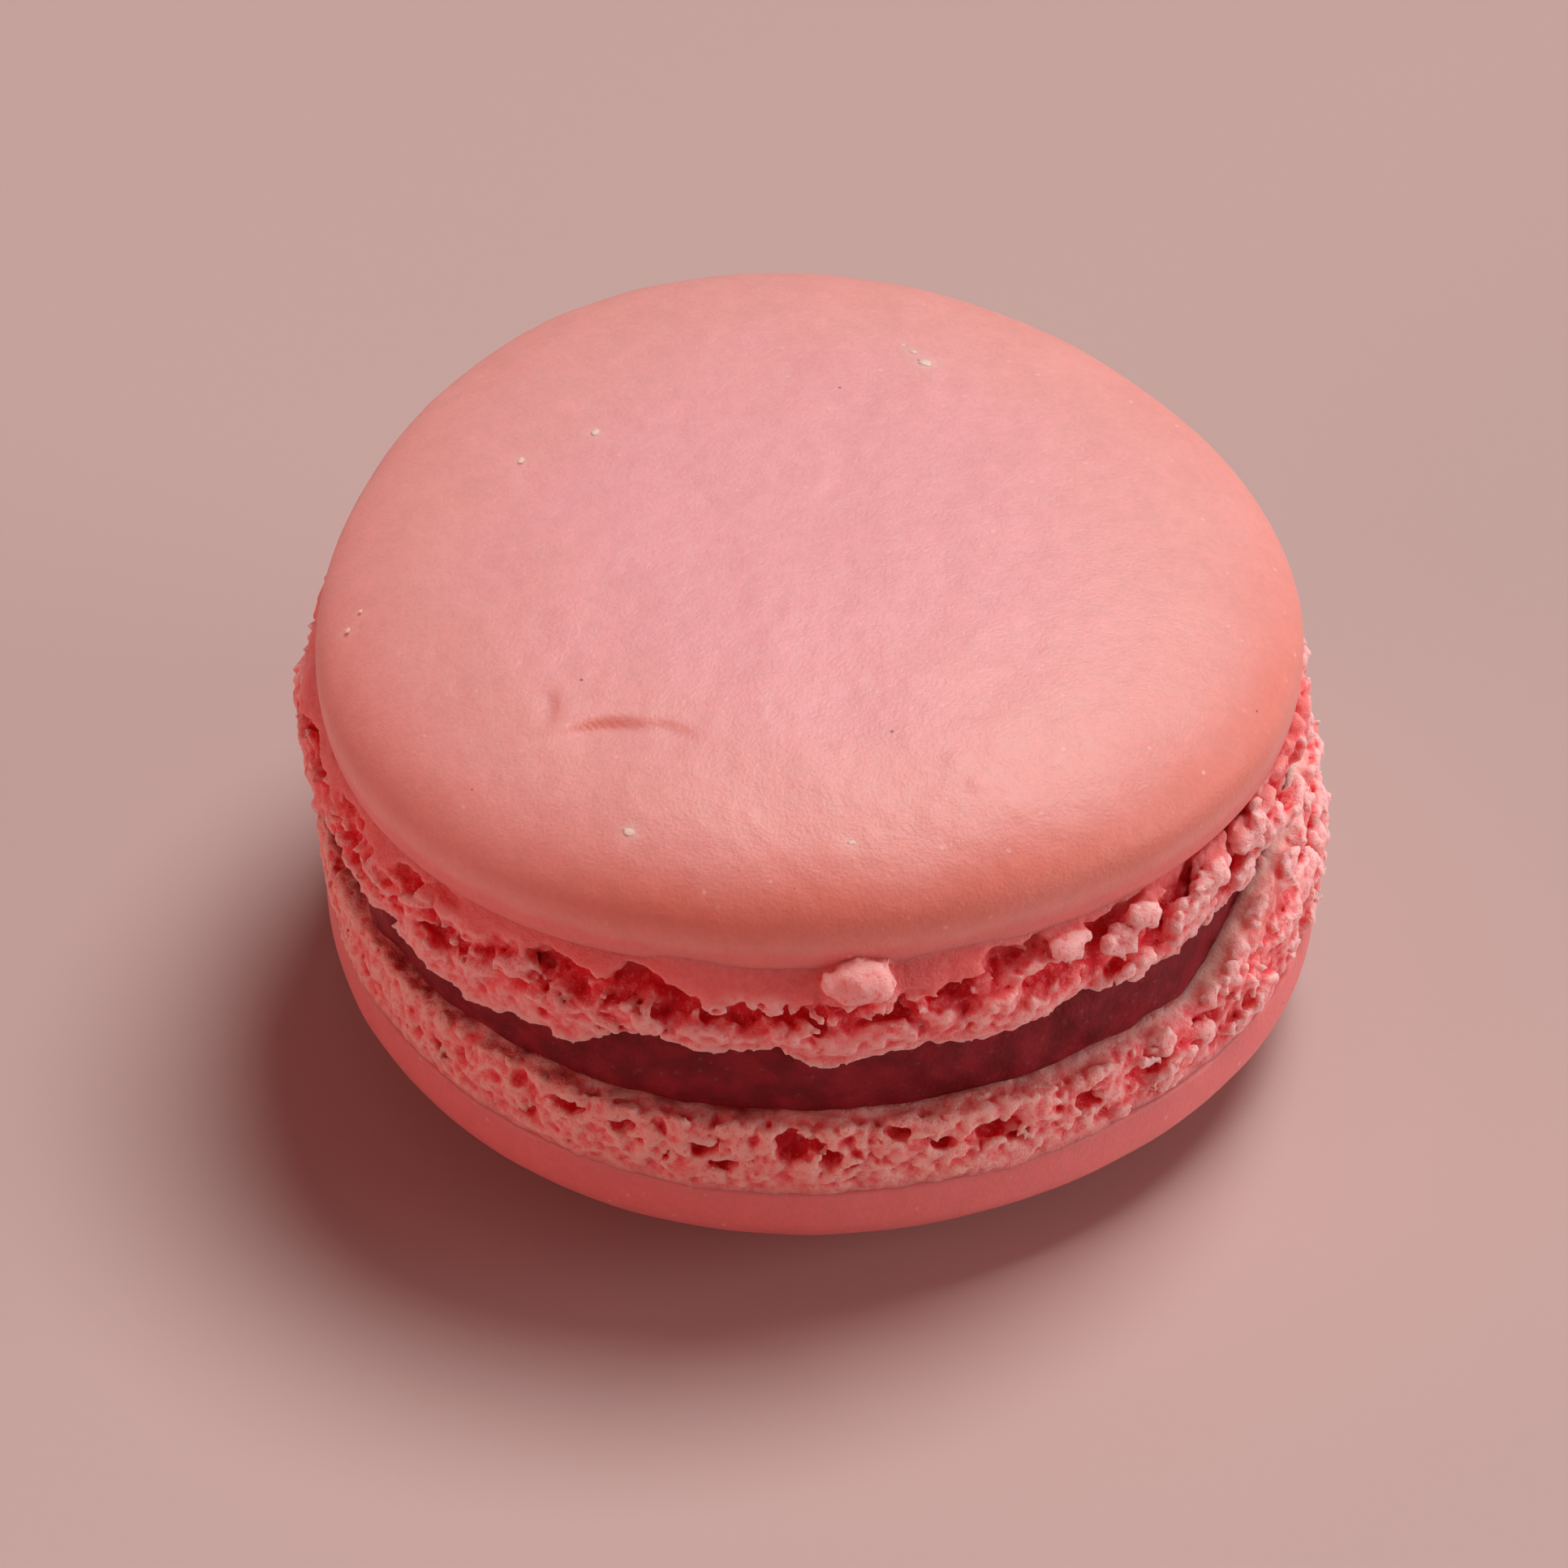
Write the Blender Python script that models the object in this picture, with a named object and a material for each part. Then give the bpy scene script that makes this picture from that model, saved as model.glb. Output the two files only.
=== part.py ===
"""French macaron: two baked almond shells, each with its ruffled foot, and a dark fruit filling.

Metres, +Z up. The lower shell rests on its flattened crown at z = 0, the filling and the upper
shell sit above it, and the front faces -Y. Each piece is a profile turned round Z, which is then
given an uneven outline, a wavy lip and the lumps and caves of a baked foot.
"""

import math

import bmesh
import bpy
from mathutils import Vector, noise

MM = 0.001
SEGMENTS = 96

# Two heights or radii closer than this are taken as the same.
SAME = 0.001 * MM

# Heights above the table.
LOWER_WIDEST = 4.9 * MM
LOWER_SKIN_EDGE = 6.1 * MM
LOWER_TOP = 10.4 * MM
UPPER_UNDERSIDE = 14.75 * MM
UPPER_SKIN_EDGE = 18.75 * MM
UPPER_WIDEST = 20.75 * MM
CROWN_TOP = 26.0 * MM

# Radii before the outline is made uneven. The lower dome's first ring stands clear of the flat.
RESTING_FLAT = 9.0 * MM
FIRST_DOME_RING = 1.1 * RESTING_FLAT
LOWER_RADIUS = 21.26 * MM
UPPER_RADIUS = 21.43 * MM
UPPER_FOOT_OVERHANG = 0.75 * MM
LOWER_FOOT_OVERHANG = 0.4 * MM
SKIN_TUCK = 0.55 * MM
LIP_RADIUS = 20.9 * MM
FILLING_RADIUS = 20.6 * MM

# The gap that keeps the filling clear of both shells, and how far its side bulges.
FILLING_GAP = 0.3 * MM
FILLING_BULGE = 0.25 * MM

# The dome is a superellipse: 2 is an ellipse, and more is flatter on top with a fuller shoulder.
DOME_POWER = 2.25

# Where each shell's axis stands.
LOWER_CENTRE = Vector((0.29, 0.27, 0.0)) * MM
UPPER_CENTRE = Vector((-0.44, 0.0, 0.0)) * MM
FILLING_CENTRE = (LOWER_CENTRE + UPPER_CENTRE) / 2

# Uneven outlines: waves round the shell, share of the radius, bearing of a high point in degrees.
LOWER_OUTLINE = ((2, 0.0176, -19.4), (3, 0.0187, 10.3))
UPPER_OUTLINE = ((2, 0.0073, -80.0), (3, 0.0255, -17.2))

# How much of the dome's unevenness the upper foot shares.
UPPER_FOOT_SHARE = 0.5

# The side of a foot follows a stretch of a sine arch, given in half turns from bottom to top.
UPPER_BELLY = (0.22, 0.84)
LOWER_BELLY = (0.22, 0.72)
BELLY_DEPTH = 1.0 * MM
CREVICE_HEIGHT = 0.24 * MM
SKIN_STEP = 0.1 * MM

# The two feet press together on the right-hand side.
PINCH_BEARING = 12.0
PINCH_HALF_WIDTH = 42.0
PINCH_HANG = 0.9 * MM
PINCH_RISE = 2.5 * MM
PINCH_FILLING_SHRINK = 0.7 * MM

# Baked foam of the feet: broad folds and small lumps, and the wave of the lip. The relief is
# full half way up a foot and fades towards both of its edges.
FOLD_LENGTH = 5.0 * MM
FOLD_DEPTH = 0.85 * MM
LUMP_LENGTH = 2.3 * MM
LUMP_DEPTH = 1.0 * MM
FOAM_LIMIT = 0.5 * MM
LIP_WAVE_LENGTH = 4.0 * MM
LIP_WAVE_DEPTH = 0.75 * MM
LOWER_FOAM = 0.45
LOWER_LIP_WAVE = 0.3
FADED_EDGE = 0.12
UPPER_FOAM_SEED = 3.0
LOWER_FOAM_SEED = 11.0
UPPER_LIP_SEED = 7.0
LOWER_LIP_SEED = 5.0

# Caves in the upper foot: bearing in degrees, height, half width, half height, depth.
UPPER_CAVES = (
    (-124.0, 17.6 * MM, 1.4 * MM, 0.9 * MM, 0.9 * MM),
    (-117.0, 17.6 * MM, 1.2 * MM, 0.9 * MM, 1.1 * MM),
    (-107.0, 17.5 * MM, 2.2 * MM, 1.0 * MM, 1.5 * MM),
    (-93.0, 17.0 * MM, 2.8 * MM, 0.6 * MM, 1.2 * MM),
    (-75.0, 16.9 * MM, 1.6 * MM, 0.8 * MM, 0.9 * MM),
    (-63.0, 18.0 * MM, 1.6 * MM, 0.9 * MM, 1.2 * MM),
    (-165.0, 17.6 * MM, 2.4 * MM, 0.8 * MM, 1.1 * MM),
    (60.0, 17.3 * MM, 2.4 * MM, 0.9 * MM, 1.1 * MM),
    (105.0, 17.0 * MM, 2.0 * MM, 0.9 * MM, 1.0 * MM),
    (150.0, 17.5 * MM, 2.2 * MM, 0.8 * MM, 1.1 * MM),
)

# Caves in the lower foot, in the same order of values.
LOWER_CAVES = (
    (-91.0, 9.0 * MM, 1.3 * MM, 0.7 * MM, 0.7 * MM),
    (-68.0, 8.6 * MM, 1.3 * MM, 0.6 * MM, 0.7 * MM),
    (-8.0, 10.6 * MM, 1.5 * MM, 0.9 * MM, 0.8 * MM),
    (80.0, 8.6 * MM, 1.6 * MM, 0.7 * MM, 0.7 * MM),
    (170.0, 8.4 * MM, 1.6 * MM, 0.7 * MM, 0.7 * MM),
)

# Lobes of the upper foot: bearing, height, half width, half height, how far each stands out.
UPPER_LOBES = (
    (-84.0, 18.3 * MM, 1.5 * MM, 0.8 * MM, 0.9 * MM),
    (-30.0, 17.0 * MM, 2.2 * MM, 1.6 * MM, 0.5 * MM),
    (-50.0, 17.6 * MM, 1.8 * MM, 1.2 * MM, 0.4 * MM),
)

# Tongues where the lip hangs down: bearing, half width, drop.
LIP_TONGUES = (
    (-84.8, 1.4 * MM, 0.9 * MM),
    (-117.0, 3.0 * MM, 0.7 * MM),
)

# A shallow mark on the crown: its middle, half length, half width and depth.
DENT_CENTRE = Vector((-8.1, -12.4, 0.0)) * MM
DENT_HALF_LENGTH = 3.2 * MM
DENT_HALF_WIDTH = 1.1 * MM
DENT_DEPTH = 0.25 * MM

# Finishes: colour, roughness. Nothing here is metal.
SHELL_UPPER_FINISH = ((0.80, 0.33, 0.31), 0.62)
SHELL_LOWER_FINISH = ((0.72, 0.27, 0.25), 0.65)
FILLING_FINISH = ((0.13, 0.010, 0.018), 0.38)

# How many profile points each rounded stretch gets.
DOME_STEPS = 8
TUCK_STEPS = 3
FOOT_STEPS = 8
FILLING_STEPS = 3


def clear_scene():
    """Remove every object that the scene starts with."""
    for item in list(bpy.data.objects):
        bpy.data.objects.remove(item, do_unlink=True)


def make_material(name, finish):
    """A plain Principled material for one piece."""
    colour, roughness = finish
    material = bpy.data.materials.new(name)
    material.use_nodes = True
    shader = material.node_tree.nodes["Principled BSDF"]
    shader.inputs["Base Color"].default_value = (*colour, 1.0)
    shader.inputs["Roughness"].default_value = roughness
    shader.inputs["Metallic"].default_value = 0.0
    material.diffuse_color = (*colour, 1.0)
    return material


def arc_fractions(steps):
    """Angles from just above 0 to a right angle in equal steps."""
    return [math.pi / 2 * step / steps for step in range(1, steps + 1)]


def dome_height(radius, full_radius):
    """Height of the unit superellipse dome at a radius, 1 at the axis and 0 at the rim."""
    share = min(radius / full_radius, 1.0)
    return (1.0 - share**DOME_POWER) ** (1.0 / DOME_POWER)


def dome_radius(angle, full_radius):
    """Radius on the dome for an even step of angle, 0 at the axis."""
    return full_radius * math.sin(angle) ** (2.0 / DOME_POWER)


def bump(distance, half_width):
    """A smooth hill, 1 in its middle and nearly nothing past twice its half width."""
    return math.exp(-((distance / half_width) ** 2))


def turn_between(bearing, target_degrees):
    """Signed angle in radians from a target bearing to this one."""
    turn = bearing - math.radians(target_degrees)
    return math.atan2(math.sin(turn), math.cos(turn))


def outline_factor(bearing, waves):
    """How much wider than its mean radius a piece is at a bearing."""
    factor = 1.0
    for count, share, high_point in waves:
        factor += share * math.cos(count * (bearing - math.radians(high_point)))
    return factor


def upper_foot_factor(bearing):
    """The upper foot's outline, which is rounder than the dome's."""
    return 1.0 + UPPER_FOOT_SHARE * (outline_factor(bearing, UPPER_OUTLINE) - 1.0)


def pinch(bearing):
    """1 where the feet press together, falling smoothly to 0 away from there."""
    turn = abs(turn_between(bearing, PINCH_BEARING))
    share = min(turn / math.radians(PINCH_HALF_WIDTH), 1.0)
    return 0.5 + 0.5 * math.cos(math.pi * share)


def spots(bearing, radius, height, places):
    """Sum of the hills or hollows listed, at one point of a foot."""
    total = 0.0
    for place, middle, half_width, half_height, depth in places:
        along = turn_between(bearing, place) * radius
        total += depth * bump(along, half_width) * bump(height - middle, half_height)
    return total


def foam(bearing, radius, height, seed):
    """Radial lumpiness of baked foam at a point, from two sizes of noise."""
    point = Vector((radius * math.cos(bearing), radius * math.sin(bearing), height))
    folds = noise.noise(point / FOLD_LENGTH + Vector((seed, 0.0, 0.0)))
    lumps = noise.noise(point / LUMP_LENGTH + Vector((0.0, seed, 0.0)))
    return FOAM_LIMIT * math.tanh((FOLD_DEPTH * folds + LUMP_DEPTH * lumps) / FOAM_LIMIT)


def relief_strength(share):
    """How strong the relief is at a share of the way between a foot's two edges."""
    return math.sin(math.pi * (FADED_EDGE + (1.0 - 2.0 * FADED_EDGE) * share))


def lip_wave(bearing, radius, seed):
    """Rise and fall of a foot's lip."""
    point = Vector((radius * math.cos(bearing), radius * math.sin(bearing), 0.0))
    return LIP_WAVE_DEPTH * noise.noise(point / LIP_WAVE_LENGTH + Vector((0.0, 0.0, seed)))


def foot_side(widest, bottom, top, belly):
    """Profile points up the side of a foot, which bellies out between its two edges."""
    start, end = belly
    points = []
    for step in range(FOOT_STEPS + 1):
        share = step / FOOT_STEPS
        arch = math.sin(math.pi * (start + (end - start) * share))
        points.append((widest - BELLY_DEPTH * (1.0 - arch), bottom + (top - bottom) * share))
    return points


def upper_profile():
    """Underside, lip, foot, tucked skin edge and dome, from the axis out and back to it."""
    widest = UPPER_RADIUS + UPPER_FOOT_OVERHANG
    points = [(radius, UPPER_UNDERSIDE) for radius in (0.0, LIP_RADIUS / 2, LIP_RADIUS)]
    points += foot_side(widest, UPPER_UNDERSIDE, UPPER_SKIN_EDGE - CREVICE_HEIGHT, UPPER_BELLY)
    for angle in reversed(arc_fractions(TUCK_STEPS)):
        radius = UPPER_RADIUS - SKIN_TUCK * (1.0 - math.cos(angle))
        points.append((radius, UPPER_WIDEST - (UPPER_WIDEST - UPPER_SKIN_EDGE) * math.sin(angle)))
    for angle in reversed(arc_fractions(DOME_STEPS)):
        radius = dome_radius(angle, UPPER_RADIUS)
        crown = (CROWN_TOP - UPPER_WIDEST) * dome_height(radius, UPPER_RADIUS)
        points.append((radius, UPPER_WIDEST + crown))
    points.append((0.0, CROWN_TOP))
    return points


def lower_profile():
    """Resting flat, dome, skin edge, foot and top face, from the axis out and back to it."""
    widest = LOWER_RADIUS + LOWER_FOOT_OVERHANG
    at_flat = dome_height(RESTING_FLAT, LOWER_RADIUS)
    points = [(0.0, 0.0), (RESTING_FLAT / 2, 0.0), (RESTING_FLAT, 0.0)]
    for angle in arc_fractions(DOME_STEPS):
        radius = dome_radius(angle, LOWER_RADIUS)
        if radius > FIRST_DOME_RING:
            points.append((radius, LOWER_WIDEST * (1.0 - dome_height(radius, LOWER_RADIUS) / at_flat)))
    points.append((LOWER_RADIUS - SKIN_STEP, LOWER_SKIN_EDGE))
    points += foot_side(widest, LOWER_SKIN_EDGE, LOWER_TOP, LOWER_BELLY)[1:]
    points += [(radius, LOWER_TOP) for radius in (LIP_RADIUS, LIP_RADIUS / 2, 0.0)]
    return points


def filling_profile():
    """A disc with a softly bulging side, from the axis out and back to it."""
    bottom = LOWER_TOP + FILLING_GAP
    top = UPPER_UNDERSIDE - FILLING_GAP
    points = [(0.0, bottom), (FILLING_RADIUS / 2, bottom)]
    for step in range(FILLING_STEPS + 1):
        share = step / FILLING_STEPS
        bulge = FILLING_BULGE * math.sin(math.pi * share)
        points.append((FILLING_RADIUS - FILLING_BULGE + bulge, bottom + (top - bottom) * share))
    points += [(FILLING_RADIUS / 2, top), (0.0, top)]
    return points


def shape_upper(radius, height, bearing):
    """Uneven outline, foot relief, hanging lip and dented crown of the upper shell."""
    if height < UPPER_UNDERSIDE + SAME and radius < LIP_RADIUS + SAME:
        return upper_foot_factor(bearing) * radius, height
    if height < UPPER_SKIN_EDGE - SAME:
        down = (UPPER_SKIN_EDGE - height) / (UPPER_SKIN_EDGE - UPPER_UNDERSIDE)
        relief = foam(bearing, radius, height, UPPER_FOAM_SEED)
        relief += spots(bearing, radius, height, UPPER_LOBES)
        relief -= spots(bearing, radius, height, UPPER_CAVES)
        drop = PINCH_HANG * pinch(bearing) + lip_wave(bearing, radius, UPPER_LIP_SEED)
        for place, half_width, depth in LIP_TONGUES:
            drop += depth * bump(turn_between(bearing, place) * radius, half_width)
        radius = upper_foot_factor(bearing) * radius + relief * relief_strength(down)
        return radius, height - drop * down**2
    if height > UPPER_WIDEST:
        across = radius * math.cos(bearing) - DENT_CENTRE.x
        ahead = radius * math.sin(bearing) - DENT_CENTRE.y
        height -= DENT_DEPTH * bump(across, DENT_HALF_LENGTH) * bump(ahead, DENT_HALF_WIDTH)
    return outline_factor(bearing, UPPER_OUTLINE) * radius, height


def shape_lower(radius, height, bearing):
    """Uneven outline, foot relief and raised lip of the lower shell."""
    if radius < RESTING_FLAT + SAME and height < SAME:
        return radius, height
    factor = outline_factor(bearing, LOWER_OUTLINE)
    on_top_face = height > LOWER_TOP - SAME and radius < LIP_RADIUS + SAME
    if height < LOWER_SKIN_EDGE + SAME or on_top_face:
        return factor * radius, height
    up = (height - LOWER_SKIN_EDGE) / (LOWER_TOP - LOWER_SKIN_EDGE)
    relief = LOWER_FOAM * foam(bearing, radius, height, LOWER_FOAM_SEED)
    relief -= spots(bearing, radius, height, LOWER_CAVES)
    rise = PINCH_RISE * pinch(bearing) + LOWER_LIP_WAVE * lip_wave(bearing, radius, LOWER_LIP_SEED)
    return factor * radius + relief * relief_strength(up), height + rise * up**2


def shape_filling(radius, height, bearing):
    """The filling lies between both outlines and draws back where the feet press together."""
    factor = (outline_factor(bearing, LOWER_OUTLINE) + upper_foot_factor(bearing)) / 2
    shrink = PINCH_FILLING_SHRINK * pinch(bearing) * radius / FILLING_RADIUS
    return factor * radius - shrink, height


def turn_profile(name, profile, shape, centre, material):
    """Turn a profile into one closed body, shape each of its points and place it."""
    mesh = bmesh.new()
    line = [mesh.verts.new((radius, 0.0, height)) for radius, height in profile]
    edges = [mesh.edges.new(pair) for pair in zip(line[:-1], line[1:])]
    bmesh.ops.spin(
        mesh,
        geom=line + edges,
        cent=(0.0, 0.0, 0.0),
        axis=(0.0, 0.0, 1.0),
        angle=2.0 * math.pi,
        steps=SEGMENTS,
        use_merge=True,
    )
    bmesh.ops.remove_doubles(mesh, verts=mesh.verts, dist=SAME)
    for point in mesh.verts:
        radius = math.hypot(point.co.x, point.co.y)
        bearing = math.atan2(point.co.y, point.co.x)
        radius, height = shape(radius, point.co.z, bearing)
        point.co = Vector((radius * math.cos(bearing), radius * math.sin(bearing), height)) + centre
    bmesh.ops.triangulate(mesh, faces=mesh.faces)
    bmesh.ops.recalc_face_normals(mesh, faces=mesh.faces)
    data = bpy.data.meshes.new(name)
    mesh.to_mesh(data)
    mesh.free()
    data.materials.append(material)
    data.shade_smooth()
    piece = bpy.data.objects.new(name, data)
    bpy.context.scene.collection.objects.link(piece)
    return piece


def make_lower_shell():
    """The shell that the macaron rests on, crown down."""
    material = make_material("baked shell, lower", SHELL_LOWER_FINISH)
    return turn_profile("lower_shell", lower_profile(), shape_lower, LOWER_CENTRE, material)


def make_filling():
    """The fruit filling, which runs right across between the shells."""
    material = make_material("fruit filling", FILLING_FINISH)
    return turn_profile("filling", filling_profile(), shape_filling, FILLING_CENTRE, material)


def make_upper_shell():
    """The shell on top, crown up."""
    material = make_material("baked shell, upper", SHELL_UPPER_FINISH)
    return turn_profile("upper_shell", upper_profile(), shape_upper, UPPER_CENTRE, material)


def main():
    """Build the macaron from the table up."""
    clear_scene()
    make_lower_shell()
    make_filling()
    make_upper_shell()


main()
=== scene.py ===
"""The finished look of a french macaron, laid out as an add-on and run as a script.

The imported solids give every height, radius and outline. The two smooth skins and the filling are
drawn as profiles and spun, the feet are grown as baked foam in a volume, and flecks of almond lie
on the crown. Lists of places, fields and materials are in millimetres, and all the rest in metres.
"""

import math
from collections import namedtuple

import bpy
import numpy as np
from mathutils import Matrix, Vector, noise


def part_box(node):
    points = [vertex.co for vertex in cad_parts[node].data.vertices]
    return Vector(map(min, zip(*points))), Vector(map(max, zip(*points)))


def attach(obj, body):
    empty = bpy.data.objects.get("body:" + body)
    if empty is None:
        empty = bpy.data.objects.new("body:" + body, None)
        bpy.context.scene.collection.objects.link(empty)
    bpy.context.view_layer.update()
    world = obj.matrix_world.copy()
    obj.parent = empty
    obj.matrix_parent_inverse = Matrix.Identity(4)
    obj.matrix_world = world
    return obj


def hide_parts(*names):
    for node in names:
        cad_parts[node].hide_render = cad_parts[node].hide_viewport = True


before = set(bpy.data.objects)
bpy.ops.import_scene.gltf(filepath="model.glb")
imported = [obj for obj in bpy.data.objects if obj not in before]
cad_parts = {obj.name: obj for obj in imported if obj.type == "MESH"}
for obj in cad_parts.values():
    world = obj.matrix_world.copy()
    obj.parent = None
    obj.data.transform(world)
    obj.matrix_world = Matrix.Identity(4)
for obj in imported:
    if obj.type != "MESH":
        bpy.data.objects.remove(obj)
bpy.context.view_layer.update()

bl_info = {
    "name": "French Macaron",
    "version": (1, 0, 0),
    "blender": (4, 5, 0),
    "location": "3D View > Sidebar > Macaron",
    "description": "Builds a french macaron with baked foam feet around its packed solids",
    "category": "Add Mesh",
}

MM = 0.001

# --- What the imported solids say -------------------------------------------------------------

# A level ring has this many points at one height, all beyond a share of the greatest reach there.
FULL_RING = 96
HEIGHT_STEP = 2e-6
RING_WIDTH = 0.8

# Waves that are looked for round an outline, and the least that counts, as a share of the radius.
HARMONICS = range(1, 7)
LEAST_WAVE = 0.0015

Ring = namedtuple("Ring", "centre radius waves height")


def read_ring(points):
    """Centre, mean radius and waves of the outline that a level ring of points follows."""
    flat = points[:, 0] + 1j * points[:, 1]
    centre = flat.mean()
    spokes = flat - centre
    radius = abs(spokes).mean()
    waves = []
    for count in HARMONICS:
        wave = 2.0 * np.mean(abs(spokes) / radius * np.exp(-1j * count * np.angle(spokes)))
        if abs(wave) > LEAST_WAVE:
            waves.append((count, float(abs(wave)), float(-np.angle(wave) / count)))
    middle = Vector((centre.real, centre.imag, 0.0))
    return Ring(middle, float(radius), tuple(waves), float(points[:, 2].mean()))


def level_rings(node):
    """The outermost level rings of a solid, from the lowest up."""
    points = np.array([tuple(point.co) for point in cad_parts[node].data.vertices])
    points = np.unique(np.round(points, 7), axis=0)
    reach = np.hypot(points[:, 0], points[:, 1])
    rings = []
    for height in np.unique(np.round(points[:, 2], 6)):
        level = np.flatnonzero(abs(points[:, 2] - height) < HEIGHT_STEP)
        outer = level[reach[level] > RING_WIDTH * reach[level].max()]
        if len(outer) >= FULL_RING and (not rings or height - rings[-1].height > HEIGHT_STEP):
            outer = outer[np.argsort(reach[outer])][:FULL_RING]
            rings.append(read_ring(points[outer]))
    return rings


def outline(ring, bearing):
    """How much wider than its mean radius a ring is at a bearing."""
    return 1.0 + sum(wave * np.cos(count * (bearing - turn)) for count, wave, turn in ring.waves)


LOWER_RINGS = level_rings("lower_shell")
UPPER_RINGS = level_rings("upper_shell")
JAM_RING = level_rings("filling")[-1]
LOWER_WIDEST = max(LOWER_RINGS, key=lambda ring: ring.radius)
UPPER_WIDEST = max(UPPER_RINGS, key=lambda ring: ring.radius)
RESTING_FLAT = LOWER_RINGS[0]
LOWER_SKIN_EDGE = LOWER_RINGS[LOWER_RINGS.index(LOWER_WIDEST) + 1]
LOWER_TOP = LOWER_RINGS[-1]
UPPER_UNDERSIDE = UPPER_RINGS[0]
UPPER_SKIN_EDGE = UPPER_RINGS[1]
CROWN_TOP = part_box("upper_shell")[1].z
JAM_REACH = JAM_RING.radius / MM

# --- Sizes and colours that a user would change ---------------------------------------------


def length(name, description, default):
    """A length property in metres."""
    return bpy.props.FloatProperty(
        name=name, description=description, default=default, min=0.0, precision=5, unit="LENGTH"
    )


def colour(name, description, default):
    """A colour property."""
    return bpy.props.FloatVectorProperty(
        name=name, description=description, default=default, size=3, min=0.0, max=1.0, subtype="COLOR"
    )


class MacaronSizes(bpy.types.PropertyGroup):
    """Lengths that shape the macaron's surface."""

    foam_detail: length("Foam detail", "Finest lump of the feet that is shown", 0.17 * MM)
    foot_overhang: length("Foot overhang", "How far the upper foot stands out past its skin", 0.6 * MM)
    lower_overhang: length("Lower overhang", "How far the lower foot stands out past its skin", 0.4 * MM)
    groove_depth: length("Groove depth", "Depth of the torn groove under the skirt", 1.3 * MM)
    lip_wave: length("Lip wave", "Rise and fall of the upper foot's lip", 1.5 * MM)
    dent_depth: length("Dent depth", "Depth of the crease in the crown", 0.45 * MM)
    jam_bulge: length("Jam bulge", "How far the side of the filling swells", 0.3 * MM)
    fleck_width: length("Fleck width", "Width of the largest almond fleck", 0.6 * MM)


class MacaronColours(bpy.types.PropertyGroup):
    """Colours of the macaron and of the table it stands on."""

    skin_middle: colour("Skin, middle", "Pink of the crown's middle", (0.89, 0.435, 0.45))
    skin_rim: colour("Skin, rim", "Baked peach of the crown's shoulder", (0.87, 0.42, 0.39))
    # The lower skin's pinks are redder and darker than the crown's: partly its own colour, partly
    # painted shade for the shadow it stands in.
    base_middle: colour("Base, underside", "Pink of the lower shell's crown", (0.82, 0.23, 0.23))
    base_rim: colour("Base, rim", "Rosier pink of the lower shell's side", (0.81, 0.215, 0.21))
    # Colour of the flank's baked band, partly painted shade; it also paints the shade along the creases.
    browned_and_shade: colour("Browned flank", "Where the upper skin is baked most", (0.74, 0.185, 0.125))
    rosy: colour("Rosy edge", "Lowest edge of the upper skin, thin and rosy", (0.84, 0.19, 0.18))
    # The feet's pale tips are partly the crumb's colour and partly painted highlight; the deep red of
    # their hollows below is painted shade.
    foam_tip_highlight: colour("Foam, tips", "Pale dry tips and lips of the feet", (0.96, 0.475, 0.455))
    # Painted light: the tips turn palest on the right of both feet, where the light falls.
    right_lit_tip: colour("Pale tips", "Driest and palest tips, on the right of both feet", (1.0, 0.54, 0.53))
    foam_flesh: colour("Foam, flesh", "Pink crumb between the tips and the caves", (0.92, 0.23, 0.23))
    foam_hollow_shade: colour("Foam, hollows", "Deep red inside the caves", (0.80, 0.035, 0.055))
    jam: colour("Jam", "Dark fruit filling", (0.15, 0.008, 0.013))
    # Pale tips of the lower foot, partly the crumb's colour and partly painted highlight.
    lower_tip_highlight: colour("Dry tips", "Pale peach tips of the lower foot", (0.94, 0.505, 0.445))
    # Pale yellowish rim beside the jam on the right, partly the crumb's own colour and partly painted
    # light.
    rim_crumb_and_light: colour("Dry rim", "Yellowish crumb of the lower foot's rim", (0.98, 0.58, 0.50))
    stain: colour("Stain", "Crumb that the jam has soaked", (0.42, 0.035, 0.028))
    almond: colour("Almond", "Flecks of almond in the skin", (0.95, 0.67, 0.57))
    table: colour("Table", "Plain pale floor", (0.55, 0.405, 0.38))


# --- Node trees written as expressions --------------------------------------------------------


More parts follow.
